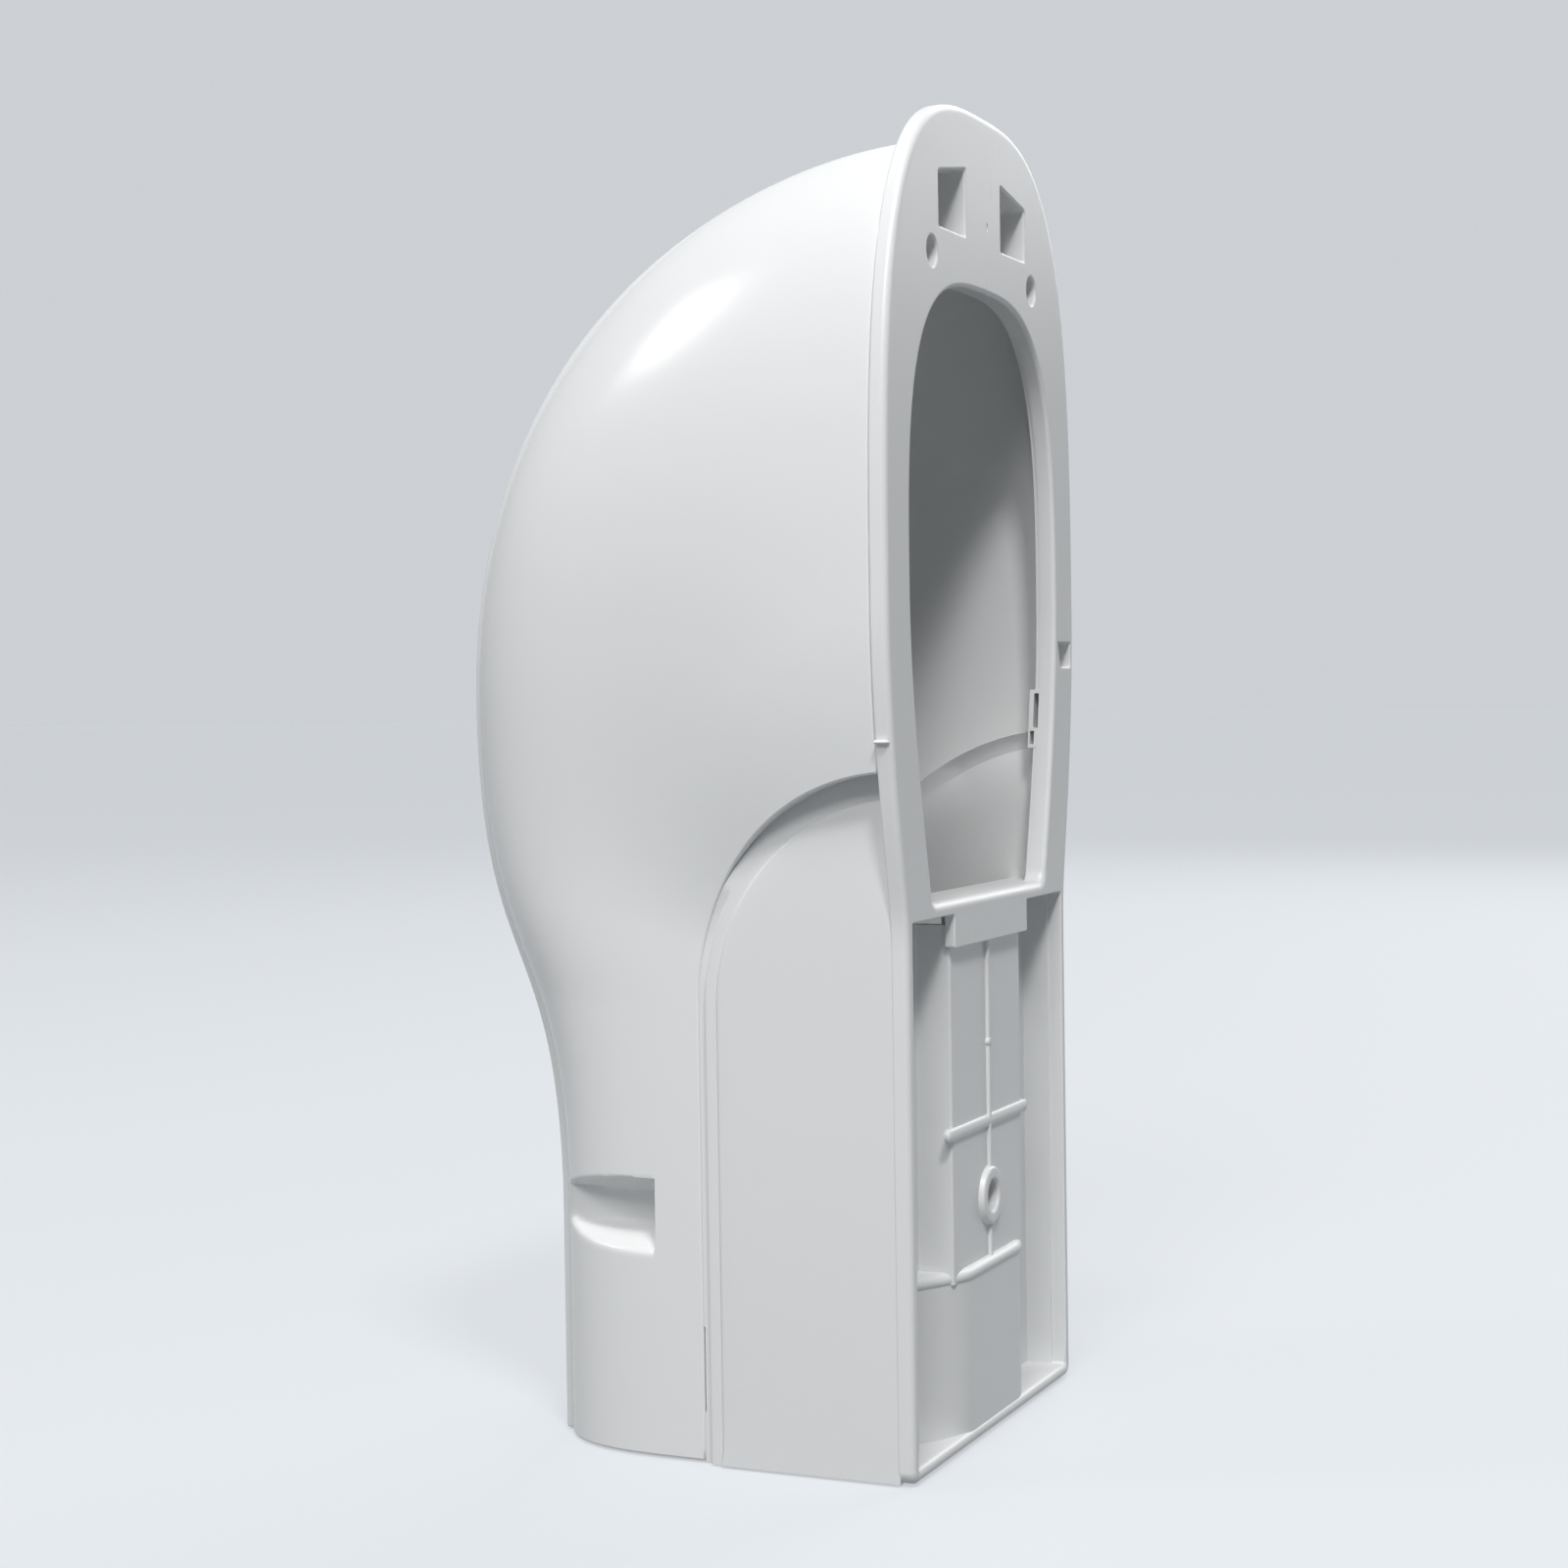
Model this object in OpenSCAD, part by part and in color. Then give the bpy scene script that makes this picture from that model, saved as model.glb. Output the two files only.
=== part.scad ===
// Wall entry cover for an air conditioner line set duct.
// A back part is screwed to the wall over the hole, and a domed front cover closes it.
// The wall is the plane y = 0, the front points to -Y and the duct comes in from below.

/* [Overall size] */
// Outer width across the two cheeks at the foot
body_w = 80; // [76:1:92]
// Overall height, up to the top of the wall plate
total_h = 226; // [220:1:250]
// Wall thickness of the front cover
cover_wall = 2; // [1.6:0.1:2.4]
// Wall thickness of the back part
base_wall = 2.5; // [2:0.1:3]
// Gap between the front cover and the back part
clearance = 0.3; // [0.2:0.05:0.5]

/* [Front cover profile] */
// Depth of the front face at the foot, measured from the wall
foot_depth = 70.6; // [68:0.1:76]
// Depth of the dome at its fullest, measured from the wall
dome_depth = 86.4; // [82:0.1:96]
// Height where the straight foot ends and the dome starts to swell
flare_z = 38; // [34:1:44]
// Height where the dome is fullest
dome_z = 127.5; // [120:0.5:134]
// Length of the curve handles along the swelling front
flare_pull = 51; // [42:1:56]
// Length of the upright curve handle above the fullest point
crown_rise = 58; // [50:1:64]
// Length of the sloping curve handle where the crown meets the wall plate
crown_reach = 41; // [34:1:48]
// Slope of the crown where it meets the wall plate
crown_slope = 3; // [0:1:10]
// How far the crown of the dome lies below the top of the wall plate
crown_drop = 9; // [8:0.5:12]

/* [Front cover section] */
// How far the side of the cover lies inside the cheek face
cheek_proud = 1.8; // [1.2:0.1:2.6]
// Tilt of the section where the sides begin to swell out, in degrees
swell_from = 15; // [5:1:30]
// Roundness of the section at the foot, where larger is squarer
foot_square = 3.5; // [3:0.1:4.5]
// Half of the width of the raised front band
band_half = 26.6; // [24:0.2:28]
// Height of the raised front band above the shoulders
band_raise = 1.8; // [1:0.1:2.4]
// Width of the sloping step beside the front band
band_step = 1; // [0.6:0.1:1.6]
// How far the middle of the front band bows out
band_bow = 1.2; // [0.4:0.1:2]
// Tilt of the section where the raised band has run out, in degrees
band_end = 88; // [80:1:90]
// Span of tilt over which the raised band runs out, in degrees
band_fade = 30; // [15:1:45]

/* [Finger grips] */
// Lower edge of the finger grip
grip_z = 34.5; // [30:0.5:36]
// Height of the finger grip at the face
grip_h = 12.2; // [10:0.2:13]
// Distance of the grip's rear end from the wall
grip_y = 47; // [46:0.5:52]
// Depth of the grip at its rear end
grip_depth = 10; // [6:0.5:12]
// Rise of the sloping grip floor and fall of its roof
grip_slope = 3.9; // [2:0.1:5]
// Distance between the raised band and the front end of the grip's back wall
grip_run = 3.5; // [2.5:0.1:5]
// How far the front end of the grip lies behind the shoulder
grip_front = 3; // [2:0.1:5]

/* [Cheeks] */
// Distance from the wall to the front edge of the cheek
cheek_depth = 36.6; // [34:0.2:40]
// Height of the centre of the cheek arch
arch_z = 76.5; // [72:0.5:82]
// Rise of the cheek arch above its centre
cheek_rise = 34.4; // [32:0.2:36]
// Gap seen between the cheek's front edge and the cover
cheek_gap = 1.6; // [1:0.1:2.4]
// Thickness of the tongue that reaches inside the cover
tongue_wall = 1.6; // [1.2:0.1:2]
// How far the tongue reaches in past the cover's edge
tongue_reach = 3.5; // [2:0.5:5]

/* [Wall plate] */
// Thickness of the wall plate
plate_t = 3; // [2.5:0.1:4]
// Greatest half width of the wall plate
plate_half = 47.2; // [46:0.1:52]
// How far the wall plate stands out past the cover
plate_lip = 0.4; // [0.2:0.1:0.8]
// Height where the wall plate is widest
plate_wide_z = 142; // [138:1:148]
// Roundness of the top of the wall plate, where larger is squarer
plate_square = 3.1; // [2.7:0.1:3.4]
// Height of the lower edge of the wall plate
plate_z = 90.4; // [88:0.2:94]
// Depth of the eased back edge of the wall plate
plate_ease = 1.2; // [0.6:0.1:1.6]
// Height of the lower side of the notch in the plate's back
notch_z = 132; // [128:0.2:136]
// Height of the notch
notch_h = 4.6; // [4:0.2:7]
// Distance of the notch from the plate's outer edge
notch_in = 2.2; // [2:0.1:2.6]
// Width of the notch at its top
notch_w = 7.2; // [6.4:0.2:7.8]
// How much narrower the notch is at its foot
notch_lean = 1.8; // [0:0.2:3]
// Depth of the notch
notch_depth = 2; // [1:0.2:2.6]
// Half width of the tab under the wall plate
tab_half = 18.5; // [16:0.5:20]
// How far the tab reaches below the wall plate
tab_drop = 5.7; // [4:0.1:8]

/* [Wall opening] */
// Greatest half width of the opening
open_half = 36.6; // [33:0.1:38]
// Half width of the opening at its foot
open_foot = 29; // [26:0.5:31]
// Height where the opening is widest
open_wide_z = 145; // [140:1:150]
// Distance of the opening's top below the top of the wall plate
open_drop = 30.2; // [29:0.2:36]
// Roundness of the top of the opening, where larger is squarer
open_square = 3.1; // [2.6:0.1:3.6]
// Radius of the lower corners of the opening
open_round = 2.5; // [1.5:0.5:5]

/* [Screw holes] */
// Diameter of the two upper screw holes
screw_d = 5; // [4:0.1:5.5]
// Distance between the two upper screw holes
screw_pitch = 50; // [47:1:53]
// Distance of the two upper screw holes below the top of the wall plate
screw_drop = 26.5; // [25.6:0.1:27]
// Diameter of the lower screw hole
low_screw_d = 5.5; // [4.5:0.1:6.5]
// Outer diameter of the boss round the lower screw hole
boss_d = 10; // [8.5:0.1:12]
// Height of the lower screw hole
boss_z = 40.3; // [38:0.5:44]
// Height of the boss above the centre strip
boss_h = 1; // [0.6:0.1:1.2]

/* [Upper windows] */
// Distance from the middle to the inner side of each window
window_in = 8.8; // [6:0.2:9]
// Width of each window
window_w = 12.9; // [12:0.1:13.8]
// Distance of each window's lower edge below the top of the wall plate
window_drop = 21.8; // [21:0.1:22.4]
// Height of each window at its inner side
window_h = 11.3; // [9:0.1:11.8]
// Fall of the window's top edge towards the outside
window_tilt = 10; // [6:1:16]
// How far the collar round each window reaches in
window_depth = 6.5; // [5:0.5:8]
// Wall thickness of the window collar
window_wall = 1.2; // [1:0.1:1.6]
// How far the collar stops short of the window's top edge
window_free = 2.8; // [2:0.1:3.6]

/* [Channel back] */
// Depth of the channel floor behind the wall plane
floor_y = 7.5; // [6:0.5:9]
// Half width of the raised centre strip
strip_half = 17.6; // [16:0.2:18]
// Depth of the centre strip behind the wall plane
strip_y = 1.3; // [1.3:0.1:2]
// Width of the upright rib on the centre strip
rib_w = 1; // [0.8:0.1:1.6]
// Height of the ribs above the centre strip
rib_h = 0.6; // [0.4:0.1:0.9]
// Width of the level rib
level_rib_w = 2.2; // [1.6:0.1:3]
// Height of the level rib
level_rib_z = 53.3; // [50:0.5:58]
// Half length of the level rib
level_rib_half = 19; // [18.4:0.1:21]
// Height of the slot at the top of each channel
slot_h = 1; // [0.6:0.1:1.4]

/* [Foot] */
// Height of the curved foot wall
foot_h = 30; // [26:0.5:33]
// Half width of the flat middle of the foot wall
foot_flat = 11.5; // [9:0.5:13]
// Distance from the middle where the foot wall reaches the channel floor
foot_run = 31; // [28:0.5:34]
// Thickness of the lip along the bottom
lip_t = 2.3; // [1.8:0.1:3]

/* [Hidden] */

eps = 0.01;
// How far a cut runs past the face that it opens
over = 1;
// Number of flats that stand for a full round
fine = 64;
plastic = [0.93, 0.93, 0.92];
cover_plastic = [0.95, 0.95, 0.94];

cheek_x = body_w / 2;
side_half = cheek_x - cheek_proud;
dome_half = plate_half - plate_lip;
rear_y = plate_t + clearance / 2;
crown_z = total_h - crown_drop;
edge_r = cheek_depth + cheek_gap;
swell = dome_half - side_half;
plate_swell = plate_half - cheek_x;
window_out = window_in + window_w;
window_z = total_h - window_drop;
screw_z = total_h - screw_drop;
open_top = total_h - open_drop;

foot_rows = 6;
flare_rows = 10;
crown_rows = 22;
side_cols = 11;
band_cols = 8;
outline_rows = 10;
arch_steps = 16;
foot_steps = 16;
corner_steps = 4;

open_z = plate_z + base_wall;
// How far the tongue's outer face lies inside the cheek face where the cover swells out
tongue_in = 0.7;

// Point at the share t of a cubic curve with its two ends and two handles.
function curve(a, b, c, d, t) =
    a * pow(1 - t, 3) + 3 * b * pow(1 - t, 2) * t + 3 * c * (1 - t) * t * t + d * pow(t, 3);

// Smooth rise from 0 to 1 while t runs from 0 to 1.
function ease(t) = let (s = min(1, max(0, t))) s * s * (3 - 2 * s);

// Front edge of the cover as [depth, height] points, from the foot up to the wall plate.
front_line = concat(
    [for (i = [0 : foot_rows - 1]) [foot_depth, flare_z * i / foot_rows]],
    [for (i = [0 : flare_rows - 1])
        curve([foot_depth, flare_z], [foot_depth, flare_z + flare_pull],
              [dome_depth, dome_z - flare_pull], [dome_depth, dome_z], i / flare_rows)],
    [for (i = [0 : crown_rows])
        curve([dome_depth, dome_z], [dome_depth, dome_z + crown_rise],
              [rear_y + crown_reach, crown_z - crown_reach * tan(crown_slope)],
              [rear_y, crown_z], i / crown_rows)]
);

// Every section of the cover lies in a plane through the level axis at the arch centre,
// and below that axis the sections are level. A place in a section is [x, r], where r is
// the distance from the axis, and fan is the section's tilt above level.
function fan_of(p) = p[1] > arch_z ? atan2(p[1] - arch_z, p[0] - rear_y) : 0;
function root_z(p) = min(p[1], arch_z);
function reach_of(p) = norm([p[0] - rear_y, p[1] - root_z(p)]);

// Share of the dome's swelling that a section has.
function share(fan) = ease((fan - swell_from) / (90 - swell_from));
// Half width of a section at its widest, and the distance from the axis where that is.
function wide(fan) = side_half + swell * share(fan);
function wide_r(fan) = edge_r - rear_y + (plate_wide_z - arch_z - edge_r + rear_y) * fan / 90;
// Roundness of a section.
function square_of(fan) = foot_square + (plate_square - foot_square) * ease(fan / 90);
// Distance from the axis to the edge round the cheek arch.
function edge_of(fan) = sqrt(pow(edge_r, 2) - pow(rear_y * sin(fan), 2)) - rear_y * cos(fan);
// Height of the front band over the shoulder, which runs out towards the wall plate.
function raise_of(fan) = band_raise * ease((band_end - fan) / band_fade);
// Narrowing of a section behind its widest place.
function tuck(fan, r) =
    let (full = plate_wide_z - plate_z, here = full * wide_r(fan) / (plate_wide_z - arch_z))
    plate_swell * share(fan) * (1 - sin(90 * min(1, max(0, 1 - (wide_r(fan) - r) / here))));

// Half of one section as [x, r] points, from the rear edge to the side of the front band,
// with the wall thickness t taken off.
function half_section(p, t) =
    let (fan = fan_of(p), n = square_of(fan), w = wide(fan) - t, rb = wide_r(fan),
         foot = band_half + band_step - t, low = reach_of(p) - raise_of(fan) - t,
         tall = (low - rb) / pow(1 - pow(foot / w, n), 1 / n),
         first = (edge_of(fan) - rb) / tall * 180 / PI,
         last = atan2((low - rb) / tall, foot / w))
    [for (i = [0 : side_cols])
        let (a = first + (last - first) * i / side_cols,
             k = pow(pow(abs(cos(a)), n) + pow(abs(sin(a)), n), 1 / n))
        a < 0 ? [w - tuck(fan, rb + tall * a * PI / 180), rb + tall * a * PI / 180]
              : [w * cos(a) / k, rb + tall * sin(a) / k]];

// The front band of one section.
function band_section(p, t) =
    let (half = band_half - t, top = reach_of(p) - t)
    [for (i = [0 : band_cols])
        let (x = half * (1 - 2 * i / band_cols))
        [x, top + band_bow * (1 - pow(x / half, 2))]];

function mirrored(half) = [for (i = [len(half) - 1 : -1 : 0]) [-half[i][0], half[i][1]]];

// A whole section as points in space.
function section(p, t) =
    let (half = half_section(p, t), fan = fan_of(p))
    [for (q = concat(half, band_section(p, t), mirrored(half)))
        [q[0], -rear_y - q[1] * cos(fan), root_z(p) + q[1] * sin(fan)]];

// A closed sheet between two grids of the same size, with its four edges closed.
module sheet(outer, inner) {
    rows = len(outer);
    cols = len(outer[0]);
    n = rows * cols;
    points = concat([for (row = outer) each row], [for (row = inner) each row]);
    skin = [for (i = [0 : rows - 2], j = [0 : cols - 2])
        let (a = i * cols + j, b = a + 1, c = a + cols, d = c + 1)
        each [[a, b, c], [b, d, c], [n + a, n + c, n + b], [n + b, n + c, n + d]]];
    ends = [for (j = [0 : cols - 2])
        let (a = j, b = j + 1, c = n - cols + j, d = c + 1)
        each [[a, n + a, b], [b, n + a, n + b], [c, d, n + c], [d, n + d, n + c]]];
    sides = [for (i = [0 : rows - 2])
        let (a = i * cols, b = a + cols, c = a + cols - 1, d = b + cols - 1)
        each [[a, b, n + a], [b, n + b, n + a], [c, n + c, d], [d, n + c, n + d]]];
    polyhedron(points = points, faces = concat(skin, ends, sides));
}

// One finger grip: it is deepest at its rear end and runs out at the front band, and its
// floor and roof slope in. The value more thickens it all round for the wall behind it.
module grip_shape(more = 0) {
    out_x = cheek_x + over;
    deep_x = side_half - grip_depth - more;
    run_x = band_half + grip_run - more;
    rear = grip_y - more;
    front = foot_depth - band_raise - grip_front;
    slope = grip_slope / grip_depth;
    hull()
        for (q = [[out_x, rear], [out_x, front], [deep_x, rear], [run_x, front]])
            let (shut = more - slope * (side_half - q[0]))
            translate([q[0], -q[1], grip_z - shut])
                cube([eps, eps, grip_h + 2 * shut]);
}

// The foot of the cover as a filled block whose face lies inside the cover's wall.
module foot_block() {
    linear_extrude(grip_z + grip_h + grip_slope + 2 * cover_wall)
        polygon([for (q = section(front_line[0], cover_wall / 3)) [q[0], q[1]]]);
}

module both_sides() {
    children();
    mirror([1, 0, 0])
        children();
}

module front_cover() {
    color(cover_plastic)
        difference() {
            union() {
                sheet([for (p = front_line) section(p, 0)],
                      [for (p = front_line) section(p, cover_wall)]);
                both_sides()
                    intersection() {
                        grip_shape(cover_wall);
                        foot_block();
                    }
            }
            both_sides()
                grip_shape();
        }
}

// Right half of an arched outline in x and z: its side swells from the foot to the widest
// place, and its top is a rounded square. The value round is the radius at its lower corner.
function arched(half, foot, low, wide, top, n, round) = concat(
    round > 0 ? [for (a = [0 : 90 / corner_steps : 90])
        [foot - round * (1 - sin(a)), low + round * (1 - cos(a))]] : [],
    [for (i = [round > 0 ? 1 : 0 : outline_rows - 1])
        let (t = i / outline_rows, start = low + round)
        [foot + (half - foot) * sin(90 * t), start + (wide - start) * t]],
    [for (i = [0 : 2 * outline_rows])
        let (a = 45 * i / outline_rows)
        [half * pow(cos(a), 2 / n), wide + (top - wide) * pow(sin(a), 2 / n)]]
);

// Both halves of an outline whose last point lies in the middle.
function whole(half) = concat(half, [for (i = [len(half) - 2 : -1 : 0]) [-half[i][0], half[i][1]]]);

// A solid with an outline in x and z that reaches from the depth y0 to the depth y1.
module upright(y0, y1) {
    translate([0, -y0, 0])
        rotate([90, 0, 0])
            linear_extrude(y1 - y0)
                children();
}

// A solid with an outline in depth and height that reaches from x0 to x1.
module sideways(x0, x1) {
    translate([x0, 0, 0])
        mirror([0, 1, 0])
            rotate([90, 0, 90])
                linear_extrude(x1 - x0)
                    children();
}

// A block that is centred on the middle and w wide to each side.
module slab(w, y0, y1, z0, z1) {
    translate([-w, -y1, z0])
        cube([2 * w, y1 - y0, z1 - z0]);
}

module plate_face(inset) {
    polygon(whole(arched(plate_half - inset, cheek_x - inset, plate_z, plate_wide_z,
                         total_h - inset, plate_square, 0)));
}

module opening_face() {
    polygon(whole(arched(open_half, open_foot, open_z, open_wide_z, open_top, open_square,
                         open_round)));
}

// The flat plate that lies on the wall, with its eased back edge and its tab.
module wall_plate() {
    upright(plate_ease, plate_t)
        plate_face(0);
    upright(0, plate_ease)
        plate_face(plate_ease);
    slab(tab_half, 0, strip_y, plate_z - tab_drop, open_z);
}

// Outline of the cheek in depth and height: straight edges below and an arch on top.
module cheek_face() {
    tuck_in = plate_t / 2;
    polygon(concat(
        [[0, 0], [cheek_depth, 0]],
        [for (i = [0 : arch_steps])
            let (a = acos(tuck_in / cheek_depth) * i / arch_steps)
            [cheek_depth * cos(a), arch_z + cheek_rise * sin(a)]],
        [[tuck_in, plate_z], [0, plate_z]]
    ));
}

// Outer face of the tongue at a place in a section: just inside the cover, and never out
// past the cheek.
function tongue_x(fan, r) =
    min(cheek_x - tongue_in, wide(fan) - tuck(fan, r) - cover_wall - clearance);

// Section of the tongue as [x, r] points, with its foot set into the cheek.
function tongue_section(fan) =
    let (r0 = edge_of(fan) - cheek_gap - 2 * base_wall, r1 = edge_of(fan) - cheek_gap - base_wall,
         r2 = edge_of(fan) + tongue_reach, x = tongue_x(fan, edge_of(fan)),
         root = cheek_x - base_wall / 2)
    [[x - tongue_wall, r0], [x - tongue_wall, r2], [x, r2], [x, r1], [root, r1], [root, r0]];

function placed(points, fan, z, shift) =
    [for (q = points) [q[0], shift - rear_y - q[1] * cos(fan), z + q[1] * sin(fan)]];

// The tongue runs up behind the cheek's front edge and over its arch to the wall plate.
module tongue() {
    rings = concat(
        [placed(tongue_section(0), 0, 0, 0)],
        [for (i = [0 : arch_steps])
            let (fan = 90 * i / arch_steps)
            placed(tongue_section(fan), fan, arch_z, 0)],
        [placed(tongue_section(90), 90, arch_z, plate_t / 2)]
    );
    m = len(rings[0]);
    last = (len(rings) - 1) * m;
    polyhedron(
        points = [for (ring = rings) each ring],
        faces = concat(
            [[for (j = [0 : m - 1]) j], [for (j = [m - 1 : -1 : 0]) last + j]],
            [for (i = [0 : len(rings) - 2], j = [0 : m - 1])
                let (a = i * m + j, b = i * m + (j + 1) % m)
                each [[a, a + m, b], [b, a + m, b + m]]]
        )
    );
}

// The side cheek with the tongue behind its edge.
module cheek() {
    sideways(cheek_x - base_wall, cheek_x)
        cheek_face();
    tongue();
}

// The floor of the two channels with the raised strip between them, hollow from inside,
// and the shelf that closes them under the opening.
module channel_back() {
    back = floor_y + base_wall;
    difference() {
        union() {
            slab(cheek_x - base_wall / 2, floor_y, back, 0, open_z);
            slab(strip_half, strip_y, back, 0, open_z);
        }
        slab(strip_half - base_wall, strip_y + base_wall, back + over, lip_t, plate_z);
        both_sides()
            translate([strip_half + slot_h, -back - over, plate_z - 2 * slot_h])
                cube([cheek_x - base_wall - strip_half - 2 * slot_h, back + 2 * over, slot_h]);
    }
    slab(cheek_x - base_wall / 2, plate_t / 2, back, plate_z, open_z);
    slab(cheek_x, 0, back, 0, lip_t);
}

// Depth of the curved foot wall at x.
function foot_at(x) = floor_y * ease((abs(x) - foot_flat) / (foot_run - foot_flat));

foot_line = [for (i = [-foot_steps : foot_steps]) foot_run * i / foot_steps];

// The curved wall at the foot and the ledge on top of it.
module foot_wall() {
    back = floor_y + base_wall;
    linear_extrude(foot_h)
        polygon(concat([for (x = foot_line) [x, -foot_at(x)]],
                       [for (i = [len(foot_line) - 1 : -1 : 0])
                           [foot_line[i], -foot_at(foot_line[i]) - base_wall]]));
    translate([0, 0, foot_h - base_wall])
        linear_extrude(base_wall)
            polygon(concat([for (x = foot_line) [x, -foot_at(x)]],
                           [[foot_run, -back], [-foot_run, -back]]));
}

module strip_ribs() {
    slab(rib_w / 2, strip_y - rib_h, strip_y + base_wall / 2, foot_h - base_wall / 2,
         plate_z - tab_drop + base_wall / 2);
    upright(strip_y - rib_h, strip_y + base_wall / 2) {
        translate([-level_rib_half, level_rib_z - level_rib_w / 2])
            square([2 * level_rib_half, level_rib_w]);
        for (side = [-1, 1])
            translate([side * level_rib_half, level_rib_z])
                circle(d = level_rib_w, $fn = fine);
    }
    upright(strip_y - boss_h, strip_y + base_wall)
        translate([0, boss_z])
            circle(d = boss_d, $fn = fine);
}

// Outline of one window, with the value more added on its sides and below it.
module window_face(more) {
    fall = window_w * tan(window_tilt);
    cut = more > 0 ? window_free : 0;
    polygon([
        [window_in - more, window_z - more],
        [window_out + more, window_z - more],
        [window_out + more, window_z + window_h - fall - cut],
        [window_in - more, window_z + window_h - cut]
    ]);
}

// Outline of the notch in the plate's back.
module notch_face() {
    out = notch_in - plate_half;
    polygon([
        [out, notch_z],
        [out, notch_z + notch_h],
        [out + notch_w, notch_z + notch_h],
        [out + notch_w - notch_lean, notch_z]
    ]);
}

module wall_base() {
    color(plastic)
        difference() {
            union() {
                wall_plate();
                both_sides() {
                    cheek();
                    upright(plate_t / 2, window_depth)
                        window_face(window_wall);
                }
                channel_back();
                foot_wall();
                strip_ribs();
            }
            upright(-over, plate_t + over)
                opening_face();
            both_sides() {
                upright(-over, window_depth + over)
                    window_face(0);
                upright(-over, plate_t + over)
                    translate([screw_pitch / 2, screw_z])
                        circle(d = screw_d, $fn = fine);
            }
            upright(-over, strip_y + base_wall + over)
                translate([0, boss_z])
                    circle(d = low_screw_d, $fn = fine);
            upright(-over, notch_depth)
                notch_face();
        }
}

wall_base();
front_cover();
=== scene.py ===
import math
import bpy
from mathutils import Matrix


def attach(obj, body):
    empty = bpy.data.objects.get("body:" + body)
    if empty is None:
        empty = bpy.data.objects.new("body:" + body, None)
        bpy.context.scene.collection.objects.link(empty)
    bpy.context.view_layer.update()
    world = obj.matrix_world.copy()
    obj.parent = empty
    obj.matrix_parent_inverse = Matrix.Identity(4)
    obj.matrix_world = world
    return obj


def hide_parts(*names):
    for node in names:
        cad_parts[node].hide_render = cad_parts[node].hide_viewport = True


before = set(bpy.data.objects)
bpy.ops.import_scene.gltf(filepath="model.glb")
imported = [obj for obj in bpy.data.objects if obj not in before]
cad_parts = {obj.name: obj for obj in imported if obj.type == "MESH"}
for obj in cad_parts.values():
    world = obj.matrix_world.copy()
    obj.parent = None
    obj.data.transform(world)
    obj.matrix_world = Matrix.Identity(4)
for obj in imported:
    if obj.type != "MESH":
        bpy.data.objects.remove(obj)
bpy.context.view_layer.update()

from types import SimpleNamespace

import bmesh
import bpy
import numpy as np
from bpy.props import FloatProperty, PointerProperty, StringProperty
from mathutils import Matrix, Vector

bl_info = {
    "name": "Line set cover",
    "version": (1, 0, 0),
    "blender": (4, 5, 0),
    "location": "3D View > Sidebar > Line Cover",
    "description": "Builds a two-part wall entry cover for air conditioner pipes, with its studio",
    "category": "Add Mesh",
}

BASE = "back_part"
COVER = "cover"

# Which of x, y and z take an outline's two values and its height.
ON_WALL = (0, 2, 1)
ON_SIDE = (1, 2, 0)

# Points on half a section of the cover: on its side, on its band, and spaced evenly.
SIDE_POINTS, BAND_POINTS, EVEN_POINTS = 700, 240, 1400
SECTION_LENGTH = 100  # rough length of half a section in millimetres

# Small details in millimetres: the rounding of the cover's rims, and the heights above the
# foot, or places beside the middle and above the foot, of the marks in the mouldings.
RIM_BEVEL = 0.35
SLIT_LOW, SLIT_HIGH = 8.4, 22.4
PIN_Z = 67
KEEPER_LOW, KEEPER_HIGH = 117.2, 127.9
RIDGE_Z = 119.6
GATE_MARK = (-1.4, 207.2)
GATE_LINES = (((-4.4, 221), (-3.6, 212.6)), ((-0.9, 201.9), (-1.1, 195.9)))

# The pale paper and backdrop: how much of the paper's colour it throws back as light, and
# how strongly the paper and the backdrop show to the camera and in reflections.
PAPER_SHARE, PAPER_GLOW, BACKDROP_GLOW = 0.3, 0.72, 0.84
SKY_STRENGTH = 0.12

# Lamps: name, azimuth and elevation in degrees, size in metres, strength setting and power.
LAMPS = (("key", 35, 55, 0.25, "key", 12.5), ("top", 0, 69, 0.25, "key", 4.0),
         ("side_fill", 8, 38, 0.5, "fill", 9.5), ("front_fill", -63, 34, 0.3, "fill", 3.0),
         ("far_fill", 175, 30, 1.0, "fill", 9.0))
LAMP_DISTANCE = 1.6
LAMP_CENTRE, LAMP_TARGET = (0, 0, 0.12), (0, -0.04, 0.12)

# The camera: its place in metres, its turn in radians and its lens in millimetres.
CAMERA_PLACE = (0.44694, 0.15928, 0.12553)
CAMERA_YAW, CAMERA_PITCH, CAMERA_ROLL = 0.417568, -0.028401, -0.014755
LENS, SENSOR = 63.0, 36.0


# Settings ---------------------------------------------------------------------------------

def length(label, millimetres, about):
    """A length property whose default is given in millimetres."""
    return FloatProperty(name=label, description=about, default=millimetres / 1000, min=0,
                         unit="LENGTH", subtype="DISTANCE", precision=5)


def angle(label, degrees, about):
    """An angle property whose default is given in degrees."""
    return FloatProperty(name=label, description=about, default=math.radians(degrees),
                         min=0, max=math.pi, subtype="ANGLE")


def number(label, value, about):
    """A plain number property."""
    return FloatProperty(name=label, description=about, default=value, min=0)


def paint(label, value, about):
    """A colour property that is written as an sRGB hex value."""
    return StringProperty(name=label, description=about, default=value, maxlen=7)


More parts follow.
